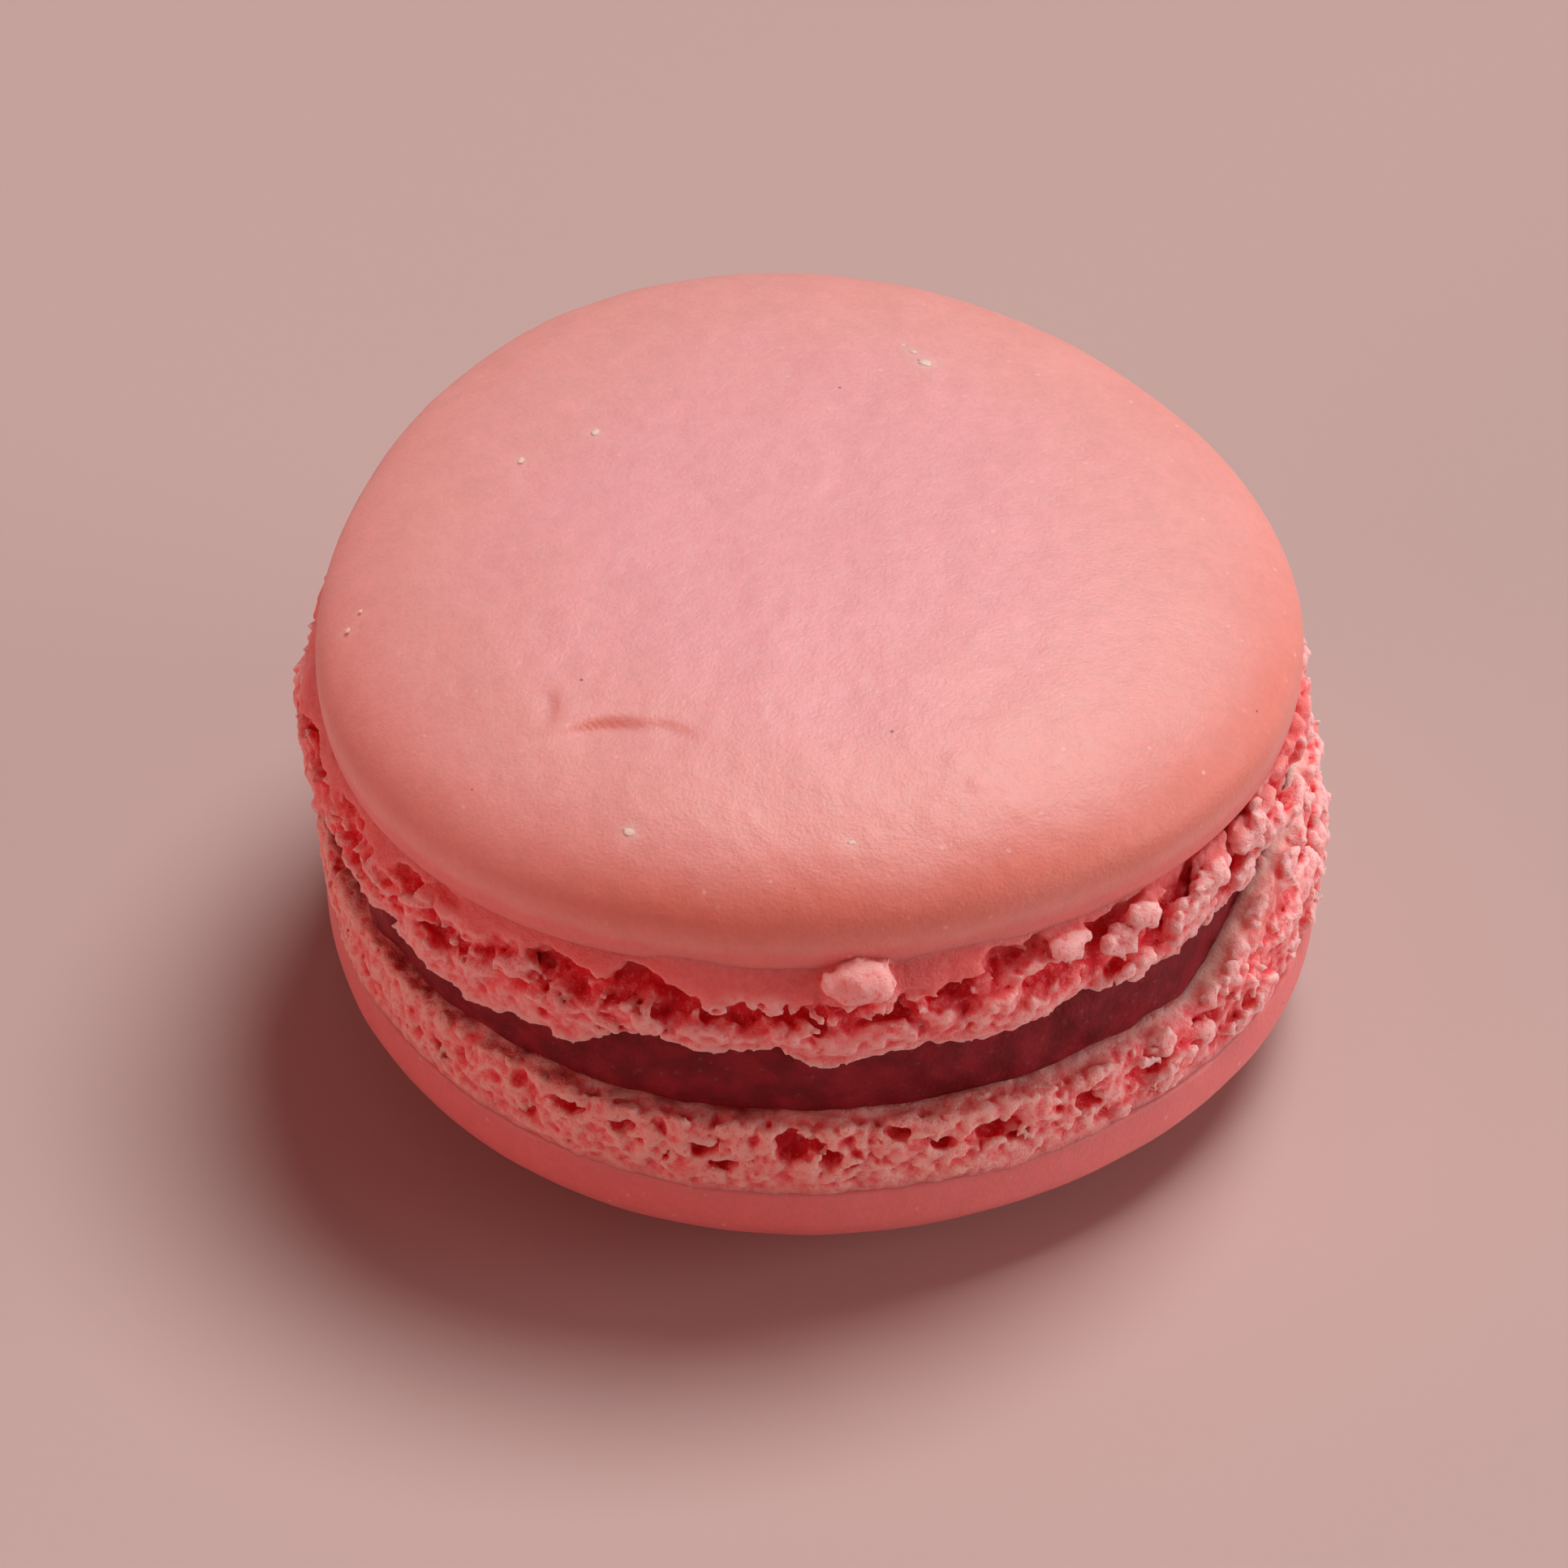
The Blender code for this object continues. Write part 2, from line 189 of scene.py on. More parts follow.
class Wire:
    """One node socket. Its operators add Math nodes, so that node maths reads as Python."""

    def __init__(self, board, socket):
        self.board = board
        self.socket = socket

    def math(self, operation, *others):
        """A Math node with this wire in front."""
        return self.board.math(operation, self, *others)

    def __add__(self, other):
        return self.math("ADD", other)

    __radd__ = __add__

    def __sub__(self, other):
        return self.math("SUBTRACT", other)

    def __rsub__(self, other):
        return self.board.math("SUBTRACT", other, self)

    def __mul__(self, other):
        return self.math("MULTIPLY", other)

    __rmul__ = __mul__

    def __truediv__(self, other):
        return self.math("DIVIDE", other)

    def __pow__(self, other):
        return self.math("POWER", other)

    def squared(self):
        return self.math("MULTIPLY", self)

    def rise(self, low, high):
        """0 below low, 1 above high and smooth between them."""
        settings = {"interpolation_type": "SMOOTHSTEP"}
        return self.board.add(
            "ShaderNodeMapRange", settings, {"Value": self, "From Min": low, "From Max": high}, "Result"
        )

    def hill(self, middle, half_width):
        """A smooth hill, 1 in its middle and nearly nothing past twice its half width."""
        return self.board.math("POWER", math.exp(-1.0), ((self - middle) / half_width).squared())

    def parts(self):
        """The three numbers of a vector."""
        return [self.board.add("ShaderNodeSeparateXYZ", {}, {0: self}, axis) for axis in range(3)]

    def moved(self, other):
        """This vector plus another."""
        return self.board.add("ShaderNodeVectorMath", {"operation": "ADD"}, {0: self, 1: other})

    def times(self, other):
        """This vector times another, part by part."""
        return self.board.add("ShaderNodeVectorMath", {"operation": "MULTIPLY"}, {0: self, 1: other})

    def scaled(self, factor):
        """This vector times a number."""
        return self.board.add("ShaderNodeVectorMath", {"operation": "SCALE"}, {0: self, "Scale": factor})


class Board:
    """A node tree that any node is added to by one method."""

    def __init__(self, tree):
        self.tree = tree

    def add(self, kind, settings, sockets, output=0):
        """Add a node, set its settings and then its sockets, and return one of its outputs."""
        node = self.tree.nodes.new(kind)
        for key, value in settings.items():
            setattr(node, key, value)
        for key, value in sockets.items():
            self.plug(value, node.inputs[key])
        return Wire(self, node.outputs[output])

    def plug(self, value, socket):
        """Link a wire to a socket, or set the socket to a value."""
        if isinstance(value, Wire):
            self.tree.links.new(value.socket, socket)
        else:
            socket.default_value = value

    def math(self, operation, *values):
        """A Math node."""
        return self.add("ShaderNodeMath", {"operation": operation}, dict(enumerate(values)))

    def noise(self, place, wavelength, detail=1.0, roughness=0.5, output=0):
        """Soft noise about 0.5, with lumps of a given size."""
        sockets = {"Vector": place, "Scale": 1.0 / wavelength, "Detail": detail, "Roughness": roughness}
        return self.add("ShaderNodeTexNoise", {"noise_dimensions": "3D"}, sockets, output)

    def cells(self, place, width):
        """Distance to the nearest of many scattered points, in cell widths."""
        sockets = {"Vector": place, "Scale": 1.0 / width}
        return self.add("ShaderNodeTexVoronoi", {"feature": "F1"}, sockets, "Distance")

    def blend(self, factor, first, second, mode="MIX"):
        """Mix two colours."""
        settings = {"data_type": "RGBA", "blend_type": mode, "clamp_factor": True}
        return self.add("ShaderNodeMix", settings, {0: factor, 6: first, 7: second}, 2)

    def attribute(self, name):
        """A number that is stored on the points of a piece."""
        return self.add("ShaderNodeAttribute", {"attribute_name": name}, {}, "Fac")


def cell_colour(cell):
    """The random colour of the cells that a distance was measured in."""
    return Wire(cell.board, cell.socket.node.outputs["Color"])


def from_centre(place, ring):
    """How far a place lies across, ahead, above and in all from a ring's centre, in millimetres."""
    across, ahead, height = place.parts()
    across = across - ring.centre.x / MM
    ahead = ahead - ring.centre.y / MM
    return across, ahead, height, (across.squared() + ahead.squared()) ** 0.5


# --- Modelling by hand ------------------------------------------------------------------------


def deselect_all():
    """Leave edit mode and clear the selection."""
    if bpy.context.object and bpy.context.object.mode != "OBJECT":
        bpy.ops.object.mode_set(mode="OBJECT")
    bpy.ops.object.select_all(action="DESELECT")


def apply_modifiers(piece):
    """Apply every modifier of a piece, from the first down."""
    deselect_all()
    piece.select_set(True)
    bpy.context.view_layer.objects.active = piece
    for modifier in list(piece.modifiers):
        bpy.ops.object.modifier_apply(modifier=modifier.name)


def spin_profile(name, profile, turns):
    """Draw a profile point by point from the axis out and back, and spin it into a closed body."""
    deselect_all()
    bpy.ops.mesh.primitive_plane_add(size=MM, location=(0.0, 0.0, 0.0))
    piece = bpy.context.object
    piece.name = name
    bpy.ops.object.mode_set(mode="EDIT")
    bpy.ops.mesh.merge(type="CENTER")
    here = Vector((0.0, 0.0, 0.0))
    first = Vector((profile[0][0], 0.0, profile[0][1]))
    bpy.ops.transform.translate(value=first - here)
    here = first
    for radius, height in profile[1:]:
        there = Vector((radius, 0.0, height))
        bpy.ops.mesh.extrude_vertices_move(TRANSFORM_OT_translate={"value": there - here})
        here = there
    bpy.ops.mesh.select_all(action="SELECT")
    bpy.ops.mesh.spin(steps=turns, angle=2.0 * math.pi, center=(0.0, 0.0, 0.0), axis=(0.0, 0.0, 1.0))
    bpy.ops.mesh.select_all(action="SELECT")
    bpy.ops.mesh.remove_doubles(threshold=0.001 * MM)
    bpy.ops.mesh.normals_make_consistent(inside=False)
    bpy.ops.object.mode_set(mode="OBJECT")
    return piece


def move_points(piece, place):
    """Move every point of a piece to where a function of all points puts it."""
    points = np.empty(len(piece.data.vertices) * 3)
    piece.data.vertices.foreach_get("co", points)
    moved = place(points.reshape(-1, 3).copy())
    piece.data.vertices.foreach_set("co", moved.ravel())
    piece.data.update()


def follow_outline(ring):
    """A function that gives turned points the uneven outline and the centre of a ring."""

    def place(points):
        bearing = np.arctan2(points[:, 1], points[:, 0])
        points[:, :2] *= outline(ring, bearing)[:, None]
        points[:, :2] += ring.centre.to_2d()
        return points

    return place


def push_out(points, ring, wave):
    """Move points away from the axis of a ring, in proportion, by a length at its radius."""
    spokes = points[:, :2] - ring.centre.to_2d()
    spokes *= (1.0 + wave / ring.radius)[:, None]
    points[:, :2] = spokes + ring.centre.to_2d()


def finish_piece(piece, slot, material, *nodes):
    """Dress a piece, hang it on the root and hide the solids that it stands for. Its slot is not used.
    """
    piece.data.materials.clear()
    piece.data.materials.append(material)
    piece.data.shade_smooth()
    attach(piece, "root")
    if nodes:
        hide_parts(*nodes)


# --- Finishes ---------------------------------------------------------------------------------

# Specks of darker crumb in the skin, and the two ends of its fine grain.
DARK_SPECK = (0.25, 0.05, 0.04)
GRAIN_DARK = (0.92, 0.92, 0.92)
GRAIN_LIGHT = (1.0, 1.0, 1.0)


def new_finish(name, **constants):
    """A material with its board, its shader and the place on the piece in millimetres."""
    material = bpy.data.materials.new(name)
    material.use_nodes = True
    board = Board(material.node_tree)
    shader = material.node_tree.nodes["Principled BSDF"]
    for socket, value in constants.items():
        shader.inputs[socket.replace("_", " ")].default_value = value
    place = board.add("ShaderNodeTexCoord", {}, {}, "Object").scaled(1.0 / MM)
    return material, board, shader, place


def coat(board, shader, base, roughness, grain=None):
    """Feed a shader its colour, its roughness and, as bump, its grain in millimetres."""
    board.plug(base, shader.inputs["Base Color"])
    board.plug(roughness, shader.inputs["Roughness"])
    if grain is not None:
        sockets = {"Strength": 1.0, "Distance": MM, "Height": grain}
        board.plug(board.add("ShaderNodeBump", {}, sockets, "Normal"), shader.inputs["Normal"])


def opaque(shade):
    """A colour property as the four numbers that a colour socket takes."""
    return (*shade, 1.0)


def tinted(shade, factor):
    """A colour made lighter or darker, as the four numbers that a socket takes."""
    return (*(min(part * factor, 1.0) for part in shade), 1.0)


def skin_finish(name, colours, shades, ring, browning_and_shade):
    """Smooth baked skin: pink in the middle, peach at the shoulder, finely grained and speckled, with a
    dark band on the flank that is partly baked colour and partly painted shade.
    """
    material, board, shader, place = new_finish(
        name, Subsurface_Weight=0.45, Subsurface_Radius=(1.0, 0.35, 0.25), Subsurface_Scale=1.5 * MM
    )
    middle, rim_shade = shades
    baked, edge = browning_and_shade
    across, ahead, height, reach = from_centre(place, ring)
    clouds = board.noise(place, 5.0, 2.0)
    mottle = board.noise(place.moved((7.0, 0.0, 0.0)), 1.2, 2.0)
    rim = (reach / (ring.radius / MM) + (clouds - 0.5) * 0.5).rise(0.30, 0.88)
    base = board.blend(rim, opaque(middle), opaque(rim_shade))
    # The flank's band is partly baked colour and partly painted shade, set high where the flank turns
    # from the light.
    brown_and_shade = (height + (clouds - 0.5) * 1.4).hill(baked, 1.9)
    # Painted shade: the band is strongest on the front, turned from the light, and weaker on the far
    # left.
    brown_and_shade = brown_and_shade * (ahead.rise(6.0, -14.0) * 0.4 + 0.4) * (across.rise(-15.0, -5.0) * 0.4 + 0.6)
    base = board.blend(brown_and_shade, base, opaque(colours.browned_and_shade))
    rosy = (height + (mottle - 0.5) * 0.6).rise(edge + 0.5, edge - 0.3)
    base = board.blend(rosy * 0.7, base, opaque(colours.rosy))
    fine = board.noise(place, 0.3, 2.0, 0.6)
    light = (mottle * 0.4 + fine * 0.6).rise(0.3, 0.7)
    light = board.blend(light, opaque(GRAIN_DARK), opaque(GRAIN_LIGHT))
    base = board.blend(1.0, base, light, "MULTIPLY")
    # Painted shade: the skin is darkened along the creases, in the colour of the baked flank.
    base = board.blend(board.attribute("crease") * 0.75, base, opaque(colours.browned_and_shade))
    speck = board.cells(place, 1.0)
    pale = speck.rise(0.15, 0.04) * cell_colour(speck).parts()[0]
    pale = pale * board.noise(place, 4.0).rise(0.36, 0.58)
    base = board.blend(pale * 0.6 + board.attribute("halo") * 0.6, base, opaque(colours.almond))
    dark = board.cells(place.moved((3.0, 1.0, 2.0)), 2.6).rise(0.036, 0.022)
    base = board.blend(dark * 0.7, base, opaque(DARK_SPECK))
    grain = board.noise(place, 0.7, 3.0, 0.6) * 0.042 + board.noise(place, 0.16, 2.0) * 0.032
    coat(board, shader, base, mottle * 0.16 + 0.41, grain)
    return material


def foam_finish(name, colours, tip, ring, skinned, stained, near_jam):
    """Baked foam: pale tips over red caves, as painted highlight and painted shade, rosy towards its
    skin, stained beside the jam, and paler on the right as painted light.
    """
    material, board, shader, place = new_finish(
        name, Subsurface_Weight=0.8, Subsurface_Radius=(1.0, 0.33, 0.24), Subsurface_Scale=1.15 * MM,
        Specular_IOR_Level=0.2,
    )
    depth = board.attribute("depth")
    clouds = board.noise(place, 1.6, 2.0)
    across, _, height, reach = from_centre(place, ring)
    # Painted shade and highlight: a point turns redder the deeper it lies below the envelope, and paler
    # the more it crests above its surroundings.
    sunk = depth - board.attribute("crest") * 5.0 + (clouds - 0.5) * 1.4
    # Painted light: the tips pale towards the right, where the light falls.
    tips = board.blend(across.rise(4.0, 18.0), opaque(tip), opaque(colours.right_lit_tip))
    base = board.blend(sunk.rise(-0.45, 0.55), tips, opaque(colours.foam_flesh))
    base = board.blend(sunk.rise(0.15, 1.3), base, opaque(colours.foam_hollow_shade))
    skin = (height + (clouds - 0.5) * 1.4).rise(*skinned) * depth.rise(-0.30, -0.05)
    base = board.blend(skin * 0.85, base, opaque(colours.rosy))
    # The crumb noise also makes the bump: its raised grain is painted pale and its low grain deep red,
    # as painted highlight and shade.
    crumb = board.noise(place, 0.30, 3.0, 0.7)
    base = board.blend(crumb.rise(0.50, 0.66) * (0.35 - skin * 0.2), base, tips)
    base = board.blend(crumb.rise(0.48, 0.34) * (0.45 - skin * 0.3), base, opaque(colours.foam_hollow_shade))
    stain = (height + (clouds - 0.5) * 1.0).rise(*stained) * reach.rise(*near_jam)
    soaked = stain * across.rise(9.0, -6.0) * clouds.rise(0.40, 0.56)
    base = board.blend(soaked * 0.95, base, opaque(colours.stain))
    # Painted light: the rim beside the jam turns pale on the right, partly the crumb's own colour and
    # partly standing in for light from the right.
    base = board.blend(stain * (across.rise(6.0, 14.0) * 0.8), base, opaque(colours.rim_crumb_and_light))
    grain = crumb * 0.16 + board.noise(place, 0.12, 1.0) * 0.04
    coat(board, shader, base, crumb * 0.2 + 0.55, grain)
    return material


def jam_finish(name, colours):
    """Dark fruit jam, softly glossy, with a fine skin of seeds and sugar."""
    material, board, shader, place = new_finish(
        name, Subsurface_Weight=0.3, Subsurface_Radius=(1.0, 0.2, 0.15), Subsurface_Scale=1.0 * MM,
        Coat_Roughness=0.3, Specular_IOR_Level=0.2,
    )
    clouds = board.noise(place, 1.5, 2.0)
    base = board.blend(clouds.rise(0.3, 0.7), opaque(colours.jam), tinted(colours.jam, 1.7))
    board.plug(board.cells(place, 0.7).rise(0.2, 0.1) * 0.5, shader.inputs["Coat Weight"])
    swell = board.noise(place, 0.6, 2.0)
    grain = swell * 0.10 + board.noise(place, 0.2, 2.0, 0.7) * 0.08
    coat(board, shader, base, swell * 0.3 + 0.42, grain)
    return material


def almond_finish(name, colours):
    """Ground almond, cream with a paler grain."""
    material, board, shader, place = new_finish(
        name, Subsurface_Weight=0.3, Subsurface_Radius=(1.0, 0.6, 0.4), Subsurface_Scale=0.4 * MM
    )
    grain = board.noise(place, 0.2, 2.0)
    base = board.blend(grain, tinted(colours.almond, 0.9), tinted(colours.almond, 1.1))
    coat(board, shader, base, grain * 0.3 + 0.4)
    return material


def table_finish(name, colours):
    """A plain pale floor with the faintest cloudiness."""
    material, board, shader, place = new_finish(name)
    clouds = board.noise(place, 60.0, 2.0)
    base = board.blend(clouds, tinted(colours.table, 0.99), tinted(colours.table, 1.01))
    coat(board, shader, base, 0.5)
    return material


# --- Smooth skins -----------------------------------------------------------------------------

# Heights of the baked flank band, partly painted shade, and of the rosy edge, far below a skin that has
# neither.
UNBROWNED = (-20.0, -20.0)

# The dome is a superellipse, as in the solids.
DOME_POWER = 2.25
PLUG_RADIUS = 19.3 * MM
PLUG_OVERLAP = 0.4 * MM
SKIN_THICKNESS = 0.35 * MM

# Steps along each stretch of a profile, and steps of its spin.
CAP_ARC_STEPS = 120
CAP_FLANK_STEPS = 9
CAP_TURNS = 560
BASE_ARC_STEPS = 40
BASE_SIDE_STEPS = 6
BASE_TURNS = 300

# Creases in the crown: two ends, and depth as a share of the dent's. Each bows by a share of its
# length, falls off as a cliff on one side and fades over a slope on the other.
CREASE_ARCH = 0.1
CREASE_CLIFF = 0.09
CREASE_SLOPE = 0.8
# Width of the painted shade that darkens the skin along each crease, in millimetres.
CREASE_PAINTED_SHADE_WIDTH = 0.22
CREASES = (
    ((-10.3, -12.3), (-6.9, -12.1), 1.0),
    ((-7.2, -12.05), (-4.6, -12.95), 0.45),
    ((-10.95, -9.8), (-10.85, -11.8), 0.35),
)

# Flecks in the crown: place in millimetres and width as a share of the largest.
FLECKS = (
    (4.88, 11.82, 1.0),
    (4.35, 12.75, 0.55),
    (3.94, 13.29, 0.35),
    (-9.35, 6.62, 0.65),
    (-12.51, 5.05, 0.6),
    (-19.71, -3.93, 0.5),
    (-19.2, -3.11, 0.35),
    (-7.49, -17.55, 0.8),
    (1.86, -18.1, 0.5),
)

# Small pimples on the crown: place, half width and height.
PIMPLES = (
    (6.25, -13.9, 0.45, 0.07),
    (7.17, -14.9, 0.35, 0.06),
    (8.74, -15.9, 0.50, 0.08),
    (3.1, -16.4, 0.40, 0.06),
    (10.4, -13.1, 0.45, 0.06),
    (-2.4, -17.0, 0.35, 0.05),
)


def dome_height(share):
    """Height of the unit dome at a share of its radius."""
    return (1.0 - np.minimum(share, 1.0) ** DOME_POWER) ** (1.0 / DOME_POWER)


def dome_arc(steps):
    """Shares of the radius for even steps of angle, from the rim to the axis."""
    angles = [math.pi / 2 * step / steps for step in range(steps, 0, -1)]
    return [math.sin(angle) ** (2.0 / DOME_POWER) for angle in angles]


def beside_crease(points, start, end):
    """For each point, how strongly a crease shows there and how far beyond its line it lies."""
    start = np.array(start) * MM
    along = np.array(end) * MM - start
    reach = np.linalg.norm(along)
    along /= reach
    across = np.array((-along[1], along[0]))
    ahead = (points[:, :2] - start) @ along / reach
    aside = (points[:, :2] - start) @ across / MM
    aside = aside - CREASE_ARCH * reach / MM * np.sin(math.pi * np.clip(ahead, 0.0, 1.0))
    return np.exp(-((np.abs(ahead - 0.5) / 0.45) ** 2.5)), aside


def crease_depth(points):
    """How deep the creases are at each point of the crown, as shares of the dent's depth."""
    total = np.zeros(len(points))
    for start, end, depth in CREASES:
        strength, aside = beside_crease(points, start, end)
        cliff = 1.0 / (1.0 + np.exp(np.clip(aside / CREASE_CLIFF, -60.0, 60.0)))
        total += depth * strength * cliff * np.exp(np.minimum(aside, 0.0) / CREASE_SLOPE)
    return total


def crease_painted_shade(points):
    """How much painted shade darkens the skin along the creases at each point."""
    total = np.zeros(len(points))
    for start, end, depth in CREASES:
        strength, aside = beside_crease(points, start, end)
        total += depth * strength * np.exp(-((aside / CREASE_PAINTED_SHADE_WIDTH) ** 2))
    return np.minimum(total, 1.0)


def fleck_halo(points, sizes):
    """How much each point of the crown pales beside a fleck of almond."""
    total = np.zeros(len(points))
    for across, ahead, share in FLECKS:
        gap = np.hypot(points[:, 0] - across * MM, points[:, 1] - ahead * MM)
        total += share * np.exp(-((gap / (sizes.fleck_width * (0.3 + share * 0.5))) ** 2))
    return np.minimum(total, 1.0)


def mark_points(piece, name, values):
    """Store a number on every point of a piece, for its finish to read."""
    marks = piece.data.attributes.new(name, "FLOAT", "POINT")
    marks.data.foreach_set("value", values)


def roughen(points, wavelength, depth):
    """A gentle uneven rise and fall for each point."""
    return depth * np.array([noise.noise(Vector(point) / wavelength) for point in points])


def crown_swell(points):
    """The crown's gentle unevenness at each point."""
    return roughen(points, 3.2 * MM, 0.09 * MM) + roughen(points, 0.9 * MM, 0.035 * MM)


# Here the cap is drawn in a little, so that more of the foot shows: bearing and half width in degrees.
SHY_BEARING = 160.0
SHY_HALF_WIDTH = 34.0
SHY_DEPTH = 0.45 * MM


def dress_crown(sizes):
    """A function that shapes the cap: outline, creases, pimples and a gentle unevenness."""
    follow = follow_outline(UPPER_WIDEST)

    def place(points):
        points = follow(points)
        bearing = np.arctan2(points[:, 1], points[:, 0])
        turn = np.angle(np.exp(1j * (bearing - math.radians(SHY_BEARING))))
        shy = SHY_DEPTH * np.exp(-((turn / math.radians(SHY_HALF_WIDTH)) ** 2))
        points[:, :2] *= (1.0 - shy / UPPER_WIDEST.radius)[:, None]
        crown = np.clip((points[:, 2] - UPPER_WIDEST.height) / (1.5 * MM), 0.0, 1.0)
        lift = crown_swell(points) - sizes.dent_depth * crease_depth(points)
        for across, ahead, half_width, height in PIMPLES:
            gap = np.hypot(points[:, 0] / MM - across, points[:, 1] / MM - ahead) / half_width
            lift += height * MM * np.exp(-(gap**2))
        points[:, 2] = np.minimum(points[:, 2] + crown * lift, CROWN_TOP)
        return points

    return place


def make_upper_cap(sizes, colours):
    """The upper shell's smooth skin, with a plug that fills the ring of foam below it."""
    ring = UPPER_WIDEST
    edge = UPPER_SKIN_EDGE
    rise = CROWN_TOP - ring.height
    low = UPPER_UNDERSIDE.height + PLUG_OVERLAP
    profile = [(0.0, low), (PLUG_RADIUS, low), (PLUG_RADIUS, edge.height)]
    profile.append((edge.radius - SKIN_THICKNESS, edge.height - 0.05 * MM))
    for step in range(CAP_FLANK_STEPS, 0, -1):
        angle = math.pi / 2 * step / CAP_FLANK_STEPS
        radius = ring.radius - (ring.radius - edge.radius) * (1.0 - math.cos(angle))
        profile.append((radius, ring.height - (ring.height - edge.height) * math.sin(angle)))
    for share in dome_arc(CAP_ARC_STEPS):
        profile.append((ring.radius * share, ring.height + rise * float(dome_height(share))))
    profile.append((0.0, CROWN_TOP))
    piece = spin_profile("upper_cap", profile, CAP_TURNS)
    move_points(piece, dress_crown(sizes))
    points = np.array([tuple(point.co) for point in piece.data.vertices])
    above = points[:, 2] > ring.height
    # The creases' painted shade is stored on the points for the skin's finish.
    mark_points(piece, "crease", crease_painted_shade(points) * above)
    mark_points(piece, "halo", fleck_halo(points, sizes) * above)
    shades = (colours.skin_middle, colours.skin_rim)
    # Middle height of the flank's band, partly painted shade, and height of the rosy edge, in
    # millimetres.
    browning_and_shade = (ring.height / MM + 1.0, edge.height / MM + 1.2)
    finish = skin_finish("baked skin", colours, shades, ring, browning_and_shade)
    finish_piece(piece, "upper_shell", finish, "upper_shell")


def make_lower_base(sizes, colours):
    """The lower shell's smooth skin, which the macaron rests on."""
    ring = LOWER_WIDEST
    edge = LOWER_SKIN_EDGE
    flat = RESTING_FLAT.radius
    at_flat = float(dome_height(flat / ring.radius))
    profile = [(0.0, 0.0), (flat / 2, 0.0), (flat, 0.0)]
    for share in reversed(dome_arc(BASE_ARC_STEPS)):
        if share * ring.radius > flat * 1.02:
            drop = float(dome_height(share)) / at_flat
            profile.append((share * ring.radius, ring.height * (1.0 - drop)))
    for step in range(1, BASE_SIDE_STEPS + 1):
        part = step / BASE_SIDE_STEPS
        radius = ring.radius - (ring.radius - edge.radius) * part**2
        profile.append((radius, ring.height + (edge.height - ring.height) * part))
    profile += [(edge.radius - SKIN_THICKNESS, edge.height + 0.12 * MM), (PLUG_RADIUS, edge.height)]
    top = LOWER_TOP.height - PLUG_OVERLAP
    profile += [(PLUG_RADIUS, top), (0.0, top)]
    piece = spin_profile("lower_base", profile, BASE_TURNS)
    follow = follow_outline(ring)

    def place(points):
        on_flat = (points[:, 2] < 0.001 * MM) & (np.hypot(points[:, 0], points[:, 1]) < flat * 1.001)
        level = points[:, 2].copy()
        centred = points[:, :2] + ring.centre.to_2d()
        shaped = follow(points)
        shaped[:, :2][on_flat] = centred[on_flat]
        wave = roughen(shaped, 3.0 * MM, 0.06 * MM) * np.clip(level / (2.0 * MM), 0.0, 1.0)
        push_out(shaped, ring, wave)
        return shaped

    move_points(piece, place)
    # Redder pinks than the crown's, partly painted shade.
    shades = (colours.base_middle, colours.base_rim)
    finish = skin_finish("baked skin, lower", colours, shades, ring, UNBROWNED)
    finish_piece(piece, "lower_shell", finish, "lower_shell")


# --- Where the feet press together ------------------------------------------------------------

# The bearing of the pinch, and the turns from there over which it starts and ends, in degrees.
PINCH_BEARING = 12.0
PINCH_START = (-52.0, -33.0)
PINCH_END = (85.0, 20.0)

# How far the upper foot hangs and the lower one rises there, in millimetres, and how far the jam is
# drawn in.
PINCH_HANG = 1.5
PINCH_RISE = 2.9
PINCH_SHRINK = 0.4 * MM

# --- Filling ----------------------------------------------------------------------------------

JAM_OVERLAP = 0.5 * MM
JAM_SIDE_STEPS = 24
JAM_TURNS = 360


def make_filling(sizes, colours):
    """The jam, which meets both feet and swells a little between them."""
    ring = JAM_RING
    low = LOWER_TOP.height - 0.2 * MM
    high = UPPER_UNDERSIDE.height + JAM_OVERLAP
    profile = [(0.0, low), (ring.radius / 2, low)]
    for step in range(JAM_SIDE_STEPS + 1):
        part = step / JAM_SIDE_STEPS
        swell = sizes.jam_bulge * math.sin(math.pi * part) - 0.1 * MM * (1.0 - part)
        profile.append((ring.radius + swell, low + (high - low) * part))
    profile += [(ring.radius / 2, high), (0.0, high)]
    piece = spin_profile("jam_filling", profile, JAM_TURNS)
    follow = follow_outline(ring)

    def place(points):
        points = follow(points)
        wave = roughen(points, 2.4 * MM, 0.30 * MM) + roughen(points, 0.8 * MM, 0.12 * MM)
        turn = np.arctan2(points[:, 1], points[:, 0]) - math.radians(PINCH_BEARING)
        wave -= PINCH_SHRINK * np.exp((np.cos(turn) - 1.0) / 0.35)
        spokes = points[:, :2] - ring.centre.to_2d()
        push_out(points, ring, wave * (np.hypot(spokes[:, 0], spokes[:, 1]) > 0.7 * ring.radius))
        return points

    move_points(piece, place)
    finish_piece(piece, "filling", jam_finish("fruit jam", colours), "filling")


# --- Baked foam of the feet -------------------------------------------------------------------

# The side of a foot follows a stretch of a sine arch, given in half turns from bottom to top.
UPPER_BELLY = (0.22, 0.92)
LOWER_BELLY = (0.16, 0.72)
BELLY_DEPTH = 1.0

# The share of its skin's waves that a foot's outline keeps.
UPPER_FOOT_SHARE = 0.5
LOWER_FOOT_SHARE = 1.0

